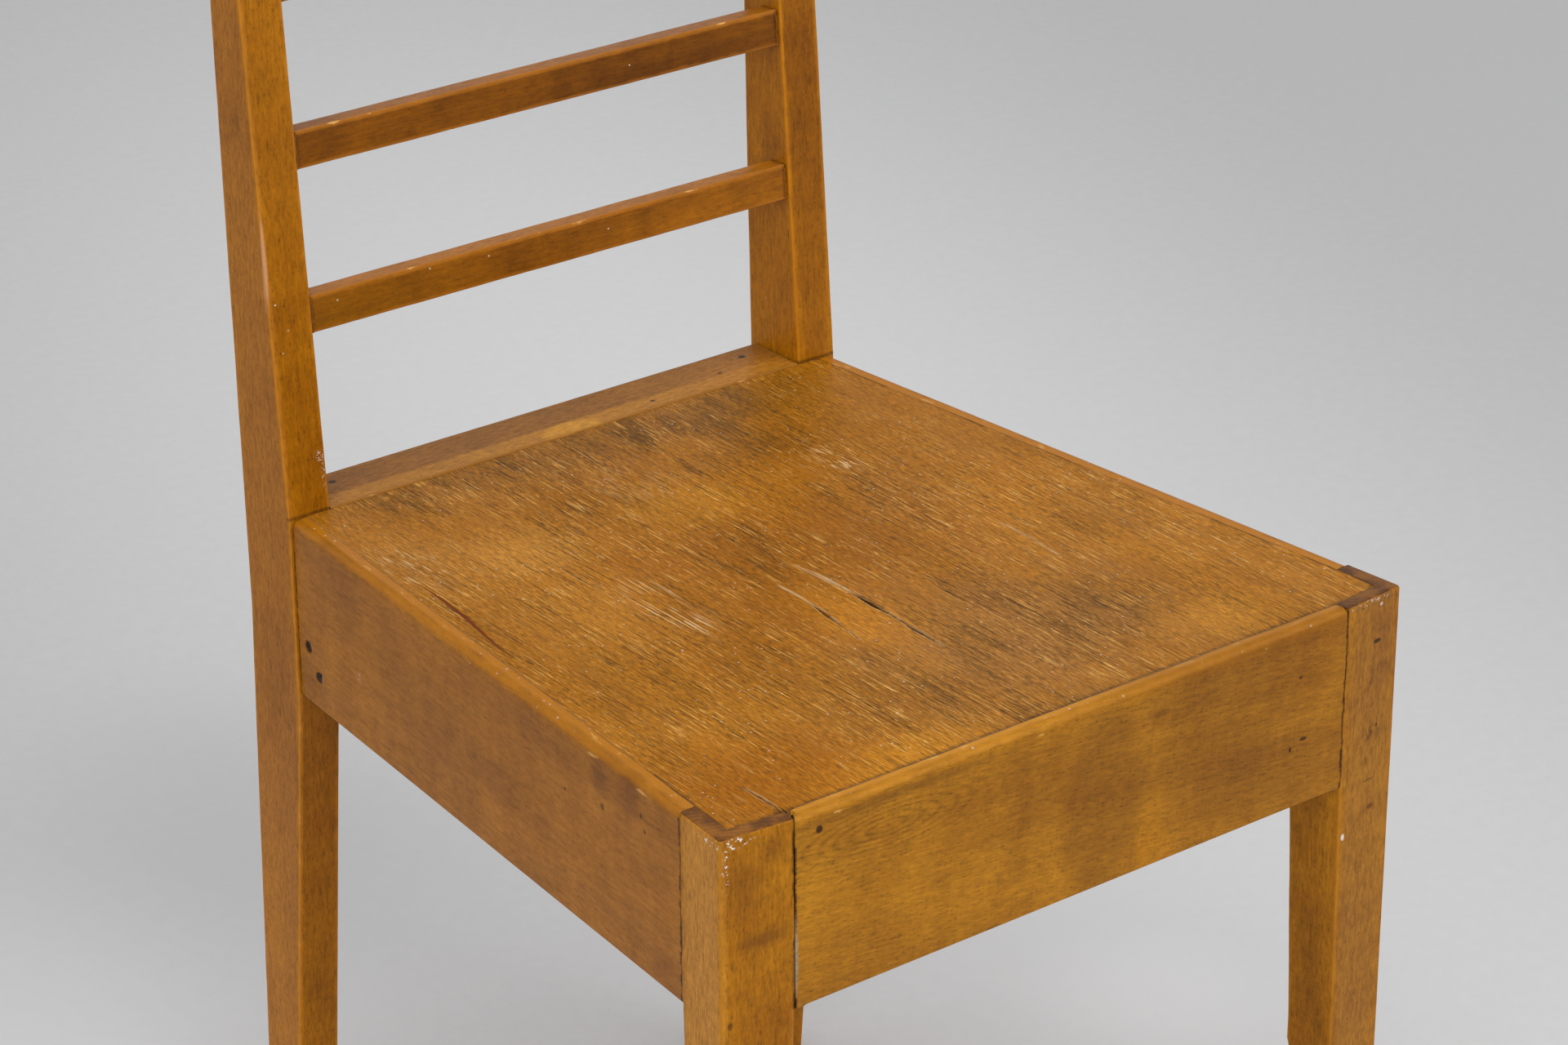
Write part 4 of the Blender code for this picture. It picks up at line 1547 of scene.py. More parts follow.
        timber = Timber(solid, is_joint)
        timber.keep_fresh(lambda middle: middle.z < plan.apron_bottom + plan.gap)
        timber.nicked.append(run_along(0.0, self.top_round))
        timber.rubbed_and_highlit.append(run_along(plan.side_lip * 0.7, 0.0))
        axis = plan.along(side)
        self.worked(timber, axis, plan.side_lip, lambda place: plan.side_place(side, place)[1])
        timber.wear(*self.side_rub, seed=5.0 + side)
        for place in self.nails(side):
            timber.refine(place, 0.0095, 5)
            timber.dent(place, *self.nail_hole, plan.inward(side))
        finish = VarnishedBeech(
            Grain.ALONG_Y, seed=6.5 + side * 1.7, tilt=(0.0, 0.0, side * plan.splay),
            pale=tone(170, 108, 27), deep=tone(138, 83, 18), rubbed_and_highlit=tone(187, 118, 16),
            stained=0.28, speckle=0.75, cloudy=1.2, curl=1.1, sparkle=0.5,
            tints=self.side_tints(side), marks=self.side_marks(side),
        )
        varnish = finish.material(f"{label}_apron_varnish")
        return timber.piece(f"{label}_apron", "wood", Slot.FRAME, varnish)

    def side_marks(self, side: int) -> Marks:
        """Nail holes, dots and a scuff of a side apron.

        Args:
            side: -1 left, 1 right.

        Returns:
            The marks.
        """
        black, red, pale = tone(14, 10, 8), tone(52, 26, 14), tone(196, 170, 150)
        hole = (0.003, 0.0032, 0.0034)
        holes = [Mark(tuple(n), hole, black, 0.95, 0.25, 0.5, 700.0) for n in self.nails(side)]
        dots = [
            blot(side * x, y, z, 2, size, size, red, 0.7, 0.5, 0.8, 500)
            for x, y, z, size in (
                (199.7, -126.7, 432.5, 1.7),
                (202.7, -160.8, 443.2, 1.2),
                (203, -163.6, 436.2, 1),
                (196.8, -93.2, 426.9, 0.9),
            )
        ]
        scuff = blot(side * 179, 108.6, 398.9, 3, 3.4, 3, pale, 0.6, 0.4, 0.8, 500, 700)
        return (*holes, *dots, scuff)

    def side_tints(self, side: int) -> Marks:
        """Dark smudges of a side apron, mostly near its front end.

        Args:
            side: -1 left, 1 right.

        Returns:
            The tints.
        """
        brown, cloudy = tone(84, 44, 16), (0.8, 1.2, 70.0)
        return (
            blot(side * 199.6, -124.8, 448.3, 4, 7, 9, brown, 0.55, 0.7, 0.9, 110),
            blot(side * 202, -151.8, 452, 4, 10, 12, brown, 0.5, 0.8, 0.9, 110),
            blot(side * 196, -85, 446, 4, 30, 12, brown, 0.18, *cloudy),
            blot(side * 185, 50, 425, 6, 40, 14, brown, 0.15, *cloudy),
            blot(side * 178, 125, 435, 4, 20, 18, brown, 0.2, *cloudy),
        )


@dataclass
class RearBoards:
    """Rear cap, level with the seat, and the rear apron under it."""

    plan: SeatPlan
    cap_thickness: float = 0.022
    cap_rise: float = 0.0006
    cap_shelf: float = 0.012
    end_gap: float = 0.0005
    ease: float = 0.0007
    border: float = 0.004
    step: float = 0.006
    cap_end_border: float = 0.012
    apron_end_border: float = 0.006
    joint_reach: float = 0.003
    panel_reach: float = 0.001
    rub_reach: float = 0.004
    cap_wear: float = 0.0004
    cap_dirt: float = 0.0012
    apron_wear: float = 0.0005
    nail_inset: float = 0.0185
    nail_hole: Corner = (0.0022, 0.0014)
    dark: Colour = tone(30, 18, 10)
    cap_knocks: Marks = (
        blot(108.9, 189.8, 460.6, 1.4, 1, 3, dark, 0.7, 0.4),
        blot(58.3, 182.2, 460.6, 1.6, 1.2, 3, dark, 0.85, 0.4),
    )
    # Painted light on the top of the cap: a lit front band, a brighter patch where light passes
    # between the slats, and a lighter tone near the right end.
    cap_painted_light_and_tint: Marks = (
        blot(0, 175, 460.6, 900, 12.5, 4, tone(190, 128, 38), 0.54, 0.14, 0.25, 60),
        blot(3, 178, 460.6, 18, 10, 4, tone(208, 146, 44), 0.55, 0.15, 0.3, 90),
        blot(122, 184, 460.6, 40, 14, 4, tone(180, 116, 34), 0.35, 0.6, 0.5, 60),
    )

    def build(self) -> list[Piece]:
        """The cap and the rear apron."""
        return [self.cap(), self.apron()]

    @property
    def end(self) -> float:
        """Distance of the boards' ends from the middle."""
        return self.plan.post_inner - self.end_gap

    @property
    def back(self) -> float:
        """World Y of the boards' back faces."""
        return self.plan.seat_rear + self.plan.cap_width

    @property
    def cap_top(self) -> float:
        """Height of the top of the cap."""
        return self.plan.seat_height + self.cap_rise

    def nails(self) -> list[Vector]:
        """Places of the cap's two nails."""
        x, y = self.plan.post_inner - self.nail_inset, self.back - self.plan.apron_thickness / 2
        return [Vector((side * x, y, self.cap_top)) for side in SIDES.values()]

    def cap(self) -> Piece:
        """Builds the cap with the ledge that carries the rear edge of the panel.

        Returns:
            The piece.
        """
        plan, top = self.plan, self.cap_top
        bottom = top - self.cap_thickness
        ledge = plan.seat_rear - self.cap_shelf
        inset = plan.apron_thickness + plan.gap
        ledge_end = min(self.end, plan.side_reaching(1, plan.seat_depth, inset, 0).x)
        profile = [
            (self.end, plan.seat_rear, top),
            (self.end, self.back, top),
            (self.end, self.back, bottom),
            (ledge_end, ledge, bottom),
            (ledge_end, ledge, plan.rebate_floor),
            (self.end, plan.seat_rear, plan.rebate_floor),
        ]
        by_post, by_panel = ledge_end - self.joint_reach, plan.seat_rear + self.panel_reach
        low, high = plan.rebate_floor - self.panel_reach, top - self.joint_reach

        def is_joint(place: Vector) -> bool:
            """Tells whether a place lies against a post or the panel."""
            return abs(place.x) > by_post or (place.y < by_panel and low < place.z < high)

        sections = ([Vector((side * x, y, z)) for x, y, z in profile] for side in SIDES.values())
        timber = Timber(loft(*sections), is_joint)
        timber.margins(self.border)
        timber.sliced(ACROSS, self.step, self.cap_end_border)
        timber.eased(self.ease)
        timber.wear(self.rub_reach, self.cap_wear, seed=11.0, dirt=self.cap_dirt)
        size, how = (0.0022, 0.0018, 0.003), (0.85, 0.3, 0.8, 700.0)
        holes = [Mark(tuple(place), size, self.dark, *how) for place in self.nails()]
        for place in self.nails():
            timber.refine(place, 0.01, 5)
            timber.dent(place, *self.nail_hole, -Vector(UP))
        # Painted shadow: the cap's darker colours stand for the lowest slat's shadow over its rear
        # band.
        finish = VarnishedBeech(
            Grain.ALONG_X, seed=12.3, speckle=1.3,
            pale=tone(150, 97, 31), deep=tone(123, 76, 23), rubbed_and_highlit=tone(148, 96, 30),
            tints=self.cap_painted_light_and_tint, marks=(*self.cap_knocks, *holes),
        )
        return timber.piece("rear_cap", "wood", Slot.FRAME, finish.material("rear_cap_varnish"))

    def apron(self) -> Piece:
        """Builds the rear apron.

        Returns:
            The piece.
        """
        plan, end = self.plan, self.end
        front, back = self.back - plan.apron_thickness, self.back
        low, top = plan.apron_bottom, self.cap_top - self.cap_thickness - plan.gap
        corners = ((front, low), (back, low), (back, top), (front, top))

        def is_joint(place: Vector) -> bool:
            """Tells whether a place lies against a post or the cap."""
            return abs(place.x) > end - self.joint_reach or place.z > top - self.panel_reach

        solid = loft(*([Vector((x, *corner)) for corner in corners] for x in (-end, end)))
        timber = Timber(solid, is_joint)
        timber.margins(self.border)
        timber.sliced(ACROSS, self.step, self.apron_end_border)
        timber.eased(self.ease)
        timber.wear(self.rub_reach, self.apron_wear, seed=12.0)
        varnish = VarnishedBeech(Grain.ALONG_X, seed=13.9).material("rear_apron_varnish")
        return timber.piece("rear_apron", "wood", Slot.FRAME, varnish)


@dataclass
class BackSlats:
    """Four slats of the back, from the seat upwards."""

    plan: SeatPlan
    names: tuple[str, ...] = ("lower", "second", "third", "top")
    height: float = 0.0197
    thickness: float = 0.0123
    pitch: float = 0.0847
    setback: float = 0.0018
    first_rise: float = 0.0929
    end_gap: float = 0.00015
    ease: float = 0.0007
    border: float = 0.0035
    step: float = 0.0055
    end_border: float = 0.002
    joint_reach: float = 0.001
    rub_reach: float = 0.0026
    rub_depth: float = 0.0007
    dirt: float = 0.004

    def build(self) -> list[Piece]:
        """The slats, from the seat upwards."""
        return [self.slat(index, name) for index, name in enumerate(self.names)]

    def slat(self, index: int, name: str) -> Piece:
        """Builds one slat.

        Args:
            index: Place of the slat, from below.
            name: Name of that place.

        Returns:
            The piece.
        """
        plan = self.plan
        rise = self.first_rise + self.pitch * index
        y = plan.seat_rear + rise * math.tan(plan.rake) + self.setback / math.cos(plan.rake)
        raked = Matrix.Rotation(-plan.rake, 4, "X")
        frame = Matrix.Translation((0, y, plan.seat_height + rise)) @ raked
        end = plan.post_inner - self.end_gap
        corners = ((0, 0), (self.thickness, 0), (self.thickness, self.height), (0, self.height))
        solid = loft(*([frame @ Vector((x, *corner)) for corner in corners] for x in (-end, end)))
        timber = Timber(solid, lambda place: abs(place.x) > end - self.joint_reach)
        timber.margins(self.border)
        timber.sliced(ACROSS, self.step, self.end_border)
        timber.eased(self.ease)
        arris = [frame @ Vector((x, 0, self.height)) for x in (-end, end)]
        timber.nicked.append((arris[0], arris[1]))
        timber.wear(self.rub_reach, self.rub_depth, seed=15.0 + index, dirt=self.dirt)
        finish = VarnishedBeech(
            Grain.ALONG_X, seed=16.0 + index * 1.9, speckle=0.8, cloudy=2.6, pore=0.18,
            # Painted shade: the slats' dark colours stand for shade on their fronts, more above the
            # lowest slat.
            pale=tone(166, 101, 8) if index == 0 else tone(144, 84, 3),
            deep=tone(120, 69, 4) if index == 0 else tone(101, 55, 1),
            rubbed_and_highlit=tone(174, 108, 34),
            tints=self.tints(index, frame, end), marks=self.specks(index),
        )
        node = f"{name}_back_slat"
        return timber.piece(node, "wood", Slot.FRAME, finish.material(f"{node}_varnish"))

    def tints(self, index: int, frame: Matrix, end: float) -> Marks:
        """Tints the top of a slat with a painted highlight, darkens its dirty ends, and darkens the
        left end of the lowest one with dirt and a painted shadow of the post.

        Args:
            index: Place of the slat, from below.
            frame: Place and turn of the slat.
            end: Distance of its ends from the middle.

        Returns:
            The tints.
        """
        light, olive, dirt = tone(204, 128, 30), tone(100, 62, 2), tone(40, 22, 6)
        # Painted highlight: the top of the slat lighter than its front.
        top = frame @ Vector((0, self.thickness / 2, self.height))
        tints = [Mark(tuple(top), (0.6, 0.02, 0.0018), light, 0.32, 0.4, 0.3, 120.0)]
        # The darker olive left end of the lowest slat: dirt and a painted shadow of the post.
        if index == 0:
            left = frame @ Vector((-end + 0.01, 0, 0))
            tints.append(Mark(tuple(left), (0.055, 0.008, 0.018), olive, 0.5, 0.8, 0.4, 60.0))
        for side in SIDES.values():
            centre = frame @ Vector((side * end, self.thickness / 2, self.height / 2))
            tints.append(Mark(tuple(centre), (0.0022, 0.03, 0.03), dirt, 0.7, 0.5, 0.5, 90.0))
        return tuple(tints)

    def specks(self, index: int) -> Marks:
        """White specks on the front of a slat.

        Args:
            index: Place of the slat, from below.

        Returns:
            The specks.
        """
        lowest = ((-0.1338, 0.5664), (-0.078, 0.5694), (-0.042, 0.5674), (0.0331, 0.5641))
        rows = {0: (0.184, lowest), 1: (0.19, ((0.0533, 0.6475),))}
        y, places = rows.get(index, (0.0, ()))
        white, size = tone(228, 216, 196), (0.0005, 0.003, 0.0004)
        return tuple(Mark((x, y, z), size, white, 0.7, 0.4) for x, z in places)


@dataclass(frozen=True)
class Split:
    """A split of the seat veneer, in plan."""

    start: Corner
    end: Corner
    width: float
    depth: float
    lift: float = 0.0
    sway: float = 0.0
    black: float = 1.0
    waves: float = 2.0
    phase: float = 1.0
    opens: float = 0.0

    def place(self, point: Vector) -> tuple[float, float]:
        """Finds a point on the split.

        Args:
            point: The point.

        Returns:
            Share of the way along the split, and distance to its side.
        """
        start, end = Vector(self.start), Vector(self.end)
        run = (end - start).normalized()
        offset = point.xy - start
        share = offset.dot(run) / (end - start).length
        swayed = self.sway * math.sin(math.tau * 0.75 * share)
        return share, offset.dot(Vector((-run.y, run.x))) - swayed

    def opening(self, share: float) -> float:
        """Half of the width of the split.

        Args:
            share: Share of the way along the split.

        Returns:
            Half of the width there, 0 past the ends.
        """
        if not 0 < share < 1:
            return 0.0
        swell = 0.6 + 0.4 * math.sin(math.tau * self.waves * share + self.phase)
        return self.width / 2 * math.sin(math.pi * share) ** 0.7 * swell

    def opened(self, share: float) -> float:
        """How far the veneer has parted, from 0.12 to 1, where it opens only further on."""
        parted = (share - self.opens) / 0.06
        return max(0.12, min(1.0, parted)) if self.opens else 1.0


def area(x: float, y: float, wide: float, deep: float, strength: float, *hue: int) -> Mark:
    """Large area of the seat with a ragged rim, golden where no hue is given."""
    colour = tone(*(hue or (198, 126, 18)))
    return blot(x, y, 460, wide, deep, 20, colour, strength, 0.8, 1.5, 60)


def scuff(x: float, y: float, wide: float, deep: float, strength: float, stretch: float) -> Mark:
    """Cluster of pale scratches along the grain of the seat."""
    how = (strength, 0.5, 1.0, 120.0, 750.0, stretch)
    return blot(x, y, 460, wide, deep, 20, tone(226, 190, 138), *how)


@dataclass
class SeatPanel:
    """Plywood panel let into the frame, with splits in its top veneer."""

    plan: SeatPlan
    seam: float = 0.00027
    rear_seam: float = 0.0001
    side_seam: float = 0.00012
    ease: float = 0.00015
    step: float = 0.006
    row: float = 0.003
    border: float = 0.006
    column: float = 0.00032
    column_reach: float = 0.0006
    rub_reach: float = 0.003
    dirt: float = 0.0016
    veneer: float = 0.003
    skin: float = 0.0008
    lip_width: float = 0.0004
    lift_width: float = 0.006
    hairline: float = 0.0003
    splits: tuple[Split, ...] = (
        Split(
            start=(-0.0081, -0.0239), end=(-0.0065, -0.141), width=0.0036, depth=0.0018,
            lift=0.0007, sway=0.0016, waves=2.86, phase=-1.13, opens=0.34,
        ),
        Split(
            start=(-0.0285, -0.0385), end=(-0.0337, -0.111), width=0.0023, depth=0.0012,
            lift=0.0004, sway=0.0012, black=0.8, opens=0.35,
        ),
        Split((-0.1696, -0.1933), (-0.169, -0.224), 0.0018, 0.0014, 0.0, 0.0003, 0.5, 0.3),
        Split((0.1032, -0.0498), (0.1019, -0.0979), 0.001, 0.0006, 0.0002, 0.0006, 0.15),
    )
    gouge: Split = Split(
        (-0.1648, 0.0676), (-0.174, -0.0195), 0.0026, 0.0003, 0.0, 0.0011, 0.0, 0.35
    )
    hole: Corner = (-0.1694, -0.2222)
    hole_radius: float = 0.0026
    hole_depth: float = 0.002
    tinted: Marks = (
        area(0, 10, 95, 85, 0.55, 148, 84, 0),
        area(85, 95, 30, 34, 0.4, 138, 80, 0),
        area(10, 160, 130, 24, 0.3, 134, 84, 22),
        area(-150, 88, 24, 32, 0.16, 206, 148, 74),
        area(-120, 0, 30, 50, 0.22, 200, 138, 52),
        area(30, -135, 60, 50, 0.3, 150, 104, 56),
        area(30, 62, 30, 40, 0.3),
        area(-22, -90, 18, 35, 0.5),
        area(-110, -214, 50, 18, 0.7, 214, 142, 24),
        area(-160, -195, 55, 36, 0.8, 158, 92, 0),
        area(154, 79, 35, 60, 0.35, 172, 108, 20),
        area(134, -20, 30, 30, 0.3),
        area(116, -196, 24, 18, 0.5, 206, 140, 40),
        area(-172, 10, 16, 150, 0.25, 152, 92, 10),
        area(-80, -76, 45, 34, 0.4, 144, 84, 4),
        area(10, -170, 90, 50, 0.25, 142, 100, 60),
        area(-96, 68, 26, 22, 0.35, 212, 152, 64),
        area(-10, 66, 34, 30, 0.32, 206, 142, 26),
        area(2, -224, 45, 10, 0.45, 134, 86, 22),
    )
    scuffs: Marks = (
        scuff(88, 64, 9, 16, 1.0, 0.1),
        scuff(-156, 90, 14, 26, 0.6, 0.08),
        scuff(-86, -16, 12, 40, 0.85, 0.03),
        scuff(-11, 103, 20, 25, 0.3, 0.06),
    )
    soiled: Marks = (
        area(-35, 162, 95, 28, 1.0),
        area(74, 156, 50, 28, 0.7),
        area(90, 120, 35, 34, 0.6),
        area(45, 100, 40, 22, 0.6),
        area(82, 12, 40, 40, 0.7),
        area(-9, 10, 34, 34, 0.6),
        area(-62, -6, 22, 26, 0.5),
        area(35, -130, 35, 50, 0.5),
        area(75, -160, 30, 24, 0.6),
        area(-10, -190, 55, 34, 0.7),
        area(-45, -145, 28, 30, 0.6),
        area(-75, -70, 26, 36, 0.5),
        area(136, -70, 22, 30, 0.5),
    )
    whole: Marks = (
        area(-165, -200, 60, 36, 0.6),
        area(-152, 130, 30, 50, 0.5),
        area(150, 100, 45, 70, 0.5),
        area(-22, -105, 15, 50, 0.6),
        area(110, -200, 60, 26, 0.35),
    )

    def build(self) -> list[Piece]:
        """Builds the panel.

        Returns:
            The piece, as a list of one.
        """
        timber = Timber(self.coarse(), lambda place: True)
        timber.sliced(ACROSS, self.step, self.border)
        timber.sliced(BACKWARD, self.row, self.border)
        timber.eased(self.ease)
        for split in (*self.splits, self.gouge):
            self.cut_columns(timber.bm, split)
        timber.wear(self.rub_reach, 0.0, seed=20.0, dirt=self.dirt)
        self.close_seams(timber.bm)
        self.open_splits(timber.bm)

        def is_underside(face: Face) -> bool:
            """Tells whether a face lies below the top veneer."""
            below = face.calc_center_median().z < self.plan.seat_height - self.veneer
            return below and face.normal.z < 0.5

        timber.ends(1, is_underside)
        veneer = WornVeneer(
            marks=self.tinted, soiled=self.soiled, whole=self.whole, scuffs=self.scuffs
        )
        finishes = {"seat_veneer": veneer, "seat_underside": BareWood(Grain.ALONG_X)}
        materials = [finish.material(name) for name, finish in finishes.items()]
        return [timber.piece("seat_panel", "veneer", Slot.SEAT, *materials)]

    def coarse(self) -> Solid:
        """Makes the panel with sharp edges, its front edge bent at the legs.

        Returns:
            The solid.
        """
        plan = self.plan
        front = plan.front_lip + self.seam
        beside = plan.side_lip + self.side_seam
        bend = plan.leg_width - front * math.tan(plan.splay / 2)

        def half(side: int, height: float) -> list[Vector]:
            """Corners of one side of the panel."""
            return [
                plan.side_point(side, plan.leg_start + front, bend, height),
                plan.side_point(side, plan.leg_start + front, beside, height),
                plan.side_reaching(side, plan.seat_depth - self.rear_seam, beside, height),
            ]

        bottom = plan.seat_height - plan.panel_thickness
        return loft(*(half(1, z) + half(-1, z)[::-1] for z in (bottom, plan.seat_height)))

    def cut_columns(self, bm: Solid, split: Split) -> None:
        """Cuts fine columns of faces along a split.

        Args:
            bm: Mesh of the panel.
            split: The split.
        """
        start, end = Vector((*split.start, 0)), Vector((*split.end, 0))
        run = (end - start).normalized()
        aside = Vector((-run.y, run.x, 0))
        reach = split.width / 2 + abs(split.sway) + self.column_reach
        count = int(reach / self.column) + 1
        for index in range(-count, count + 1):
            cut(bm, start + aside * self.column * index, aside)

    def close_seams(self, bm: Solid) -> None:
        """Fades the dirt along the edges, most where varnish has closed the seam.

        Args:
            bm: Mesh of the panel.
        """
        plan, near = self.plan, 0.003
        grime = bm.verts.layers.float["grime"]
        closed_from = {-1: plan.leg_end + 0.036, 1: plan.leg_end + 0.006}
        left_open = {-1: 0.2, 1: 0.75}
        for vert in bm.verts:
            side = 1 if vert.co.x > 0 else -1
            along, inward = plan.side_place(side, vert.co)
            if inward < plan.side_lip + near and along > closed_from[side]:
                vert[grime] *= left_open[side]
            elif vert.co.y > plan.seat_rear - 0.01:
                vert[grime] *= 0.5
            elif vert.co.y <= plan.front_line + plan.front_lip + near:
                vert[grime] *= 0.78

    def open_splits(self, bm: Solid) -> None:
        """Sinks the splits into the top, lifts the veneer beside them and notes their colour.

        Args:
            bm: Mesh of the panel.
        """
        for name in ("split", "gouge"):
            bm.verts.layers.float.new(name)
        rub, black, red = (bm.verts.layers.float[name] for name in ("rub", "split", "gouge"))
        for vert in bm.verts:
            vert[rub] = 0.0
            if vert.co.z < self.plan.seat_height - self.skin:
                continue
            for split in (*self.splits, self.gouge):
                share, aside = split.place(vert.co)
                half = split.opening(share)
                if half == 0.0:
                    continue
                off = abs(aside)
                inside = max(0.0, 1 - (off / half) ** 4)
                opened = split.opened(share)
                bump = math.exp(-(((off - half) / self.lip_width) ** 2))
                lips = bump if off > half * 0.8 else 0.0
                swell = math.exp(-((aside / self.lift_width) ** 2)) * math.sin(math.pi * share)
                vert.co.z += split.lift * swell * (1.0 if aside > 0 else 0.45) * (1 - inside)
                vert.co.z -= split.depth * inside * opened
                if split is self.gouge:
                    vert[red] = max(vert[red], inside)
                    continue
                shown = inside * opened * split.black * min(1.0, half / self.hairline)
                vert[black] = max(vert[black], shown)
                pale = max(lips * (1.0 - 0.2 * opened), inside * 0.6 * (1 - opened))
                vert[rub] = max(vert[rub], pale)
            hole = (vert.co.xy - Vector(self.hole)).length / self.hole_radius
            if hole < 1:
                vert.co.z -= self.hole_depth * min(1.0, (1 - hole) * 3)
                vert[black] = max(vert[black], min(1.0, (1 - hole) * 4))


@dataclass
class CornerBlocks:
    """Glued blocks in the corners of the seat frame, with the screws of the front ones."""

    plan: SeatPlan
    reach: float = 0.04
    height: float = 0.045
    rear_lift: float = 0.005
    ease: float = 0.0008
    step: float = 0.006
    rub_reach: float = 0.003
    rub_depth: float = 0.0006
    screw_spread: float = 0.02
    screw_head: float = 0.004
    screw_rim: float = 0.0003
    screw_shank: float = 0.002
    screw_head_depth: float = 0.0025
    screw_point: float = 0.005
    screw_bite: float = 0.012
    screw_steps: int = 24
    slot_width: float = 0.001
    slot_depth: float = 0.0009
    slot_border: float = 0.0001

    def build(self) -> list[Piece]:
        """Builds the four blocks and the four screws.

        Returns:
            The pieces.
        """
        bare = BareWood(Grain.ALONG_Z).material("block_wood")
        steel = DarkSteel().material("screw_steel")
        front_bottom = self.plan.rebate_floor - self.height
        rear_bottom = self.plan.apron_bottom + self.rear_lift
        made = []
        for label, side in SIDES.items():
            front, rear = self.front_outline(side), self.rear_outline(side)
            made.append(self.block(f"front_{label}_corner_block", front, front_bottom, bare))
            made += self.screws(label, front, steel)
            made.append(self.block(f"rear_{label}_corner_block", rear, rear_bottom, bare))
        return made

    def front_outline(self, side: int) -> list[Vector]:
        """Plan of a front block, notched round the inner corner of the leg.

        Args:
            side: -1 left, 1 right.

        Returns:
            The corners.
        """
        plan = self.plan
        behind = plan.apron_thickness + plan.gap
        beside_leg = plan.leg_width + plan.gap
        corner = plan.side_reaching(side, behind, beside_leg, 0)
        return [
            corner - Vector((side * self.reach, 0, 0)),
            corner,
            plan.side_point(side, plan.leg_end + plan.gap, beside_leg, 0),
            plan.side_point(side, plan.leg_end + plan.gap, behind, 0),
            plan.side_point(side, plan.leg_end + self.reach, behind, 0),
        ]

    def rear_outline(self, side: int) -> list[Vector]:
        """Plan of a rear block, notched round the inner corner of the post.

        Args:
            side: -1 left, 1 right.

        Returns:
            The corners.
        """
        plan = self.plan
        beside = plan.apron_thickness + plan.gap
        ahead = plan.seat_depth - plan.gap
        back = plan.seat_rear + plan.cap_width - plan.apron_thickness - plan.gap
        inner = side * (plan.post_inner - plan.gap)
        return [
            Vector((side * (plan.post_inner - self.reach), back, 0)),
            Vector((inner, back, 0)),
            Vector((inner, plan.front_line + ahead, 0)),
            plan.side_reaching(side, ahead, beside, 0),
            plan.side_reaching(side, plan.seat_depth - self.reach, beside, 0),
        ]

    def block(self, node: str, outline: Sequence[Vector], bottom: float, finish: Material) -> Piece:
        """Builds one block.

        Args:
            node: CAD node that it replaces.
            outline: Plan of the block.
            bottom: Height of its lower end.
            finish: Material.

        Returns:
            The piece.
        """
        levels = (bottom, bottom + self.height)
        solid = loft(*([Vector((point.x, point.y, z)) for point in outline] for z in levels))
        timber = Timber(solid, lambda place: False)
        timber.sliced(UP, self.step)
        timber.eased(self.ease)
        timber.wear(self.rub_reach, self.rub_depth, seed=bottom * 40)
        return timber.piece(node, "wood", Slot.INNER, finish)

    def screws(self, label: str, outline: Sequence[Vector], finish: Material) -> list[Piece]:
        """Builds the two slotted screws of a front block.

        Args:
            label: Side of the block.
            outline: Plan of the block.
            finish: Material.

        Returns:
            The pieces.
        """
        face_middle = (outline[0] + outline[4]) / 2
        into_leg = outline[2] - face_middle
        facing = (-into_leg).to_track_quat("Z", "Y").to_matrix().to_4x4()
        low = self.plan.rebate_floor - self.height / 2 - self.screw_spread / 2
        made = []
        for index, level in enumerate(("lower", "upper")):
            seat = face_middle + Vector((0, 0, low + self.screw_spread * index))
            seat += into_leg.normalized() * self.plan.gap
            turn = Matrix.Translation(seat) @ facing @ Matrix.Rotation(0.6 + index * 1.1, 4, "Z")
            bm = self.screw(into_leg.length + self.screw_bite)
            bmesh.ops.transform(bm, matrix=turn, verts=bm.verts)
            timber = Timber(bm, lambda place: False)
            node = f"front_{label}_block_{level}_screw"
            made.append(timber.piece(node, "steel", Slot.STEEL, finish))
        return made

    def screw(self, length: float) -> Solid:
        """Makes a countersunk screw along Z with a slot in its head.

        Args:
            length: Length of the screw.

        Returns:
            The solid.
        """
        bm = bmesh.new()
        profile = (
            (0.0, 0.0),
            (self.screw_head * 0.93, 0.0),
            (self.screw_head, -self.screw_rim),
            (self.screw_shank, -self.screw_head_depth),
            (self.screw_shank, self.screw_point - length),
            (0.0, -length),
        )
        verts = [bm.verts.new((radius, 0, z)) for radius, z in profile]
        edges = [bm.edges.new(pair) for pair in zip(verts, verts[1:])]
        bmesh.ops.spin(
            bm,
            geom=verts + edges, axis=UP, angle=math.tau, steps=self.screw_steps, use_merge=True,
        )
        bmesh.ops.remove_doubles(bm, verts=bm.verts, dist=1e-5)
        bmesh.ops.recalc_face_normals(bm, faces=bm.faces)

        def head() -> list[Face]:
            """Faces of the flat top."""
            return [face for face in bm.faces if face.calc_center_median().z > -0.0001]

        def corners(faces: Iterable[Face]) -> list[bmesh.types.BMVert]:
            """Vertices of some faces."""
            return list({vert for face in faces for vert in face.verts})

        bmesh.ops.dissolve_faces(bm, faces=head())
        half = self.slot_width / 2
        for x in (-half, half):
            faces = head()
            rims = list({edge for face in faces for edge in face.edges})
            geometry = faces + rims + corners(faces)
            bmesh.ops.bisect_plane(
                bm, geom=geometry, dist=CUT_SNAP, plane_co=(x, 0, 0), plane_no=ACROSS
            )
        slot = [face for face in head() if abs(face.calc_center_median().x) < half / 2]
        bmesh.ops.inset_region(bm, faces=slot, thickness=self.slot_border, depth=0.0)
        bmesh.ops.translate(bm, verts=corners(slot), vec=(0, 0, -self.slot_depth))
        return bm


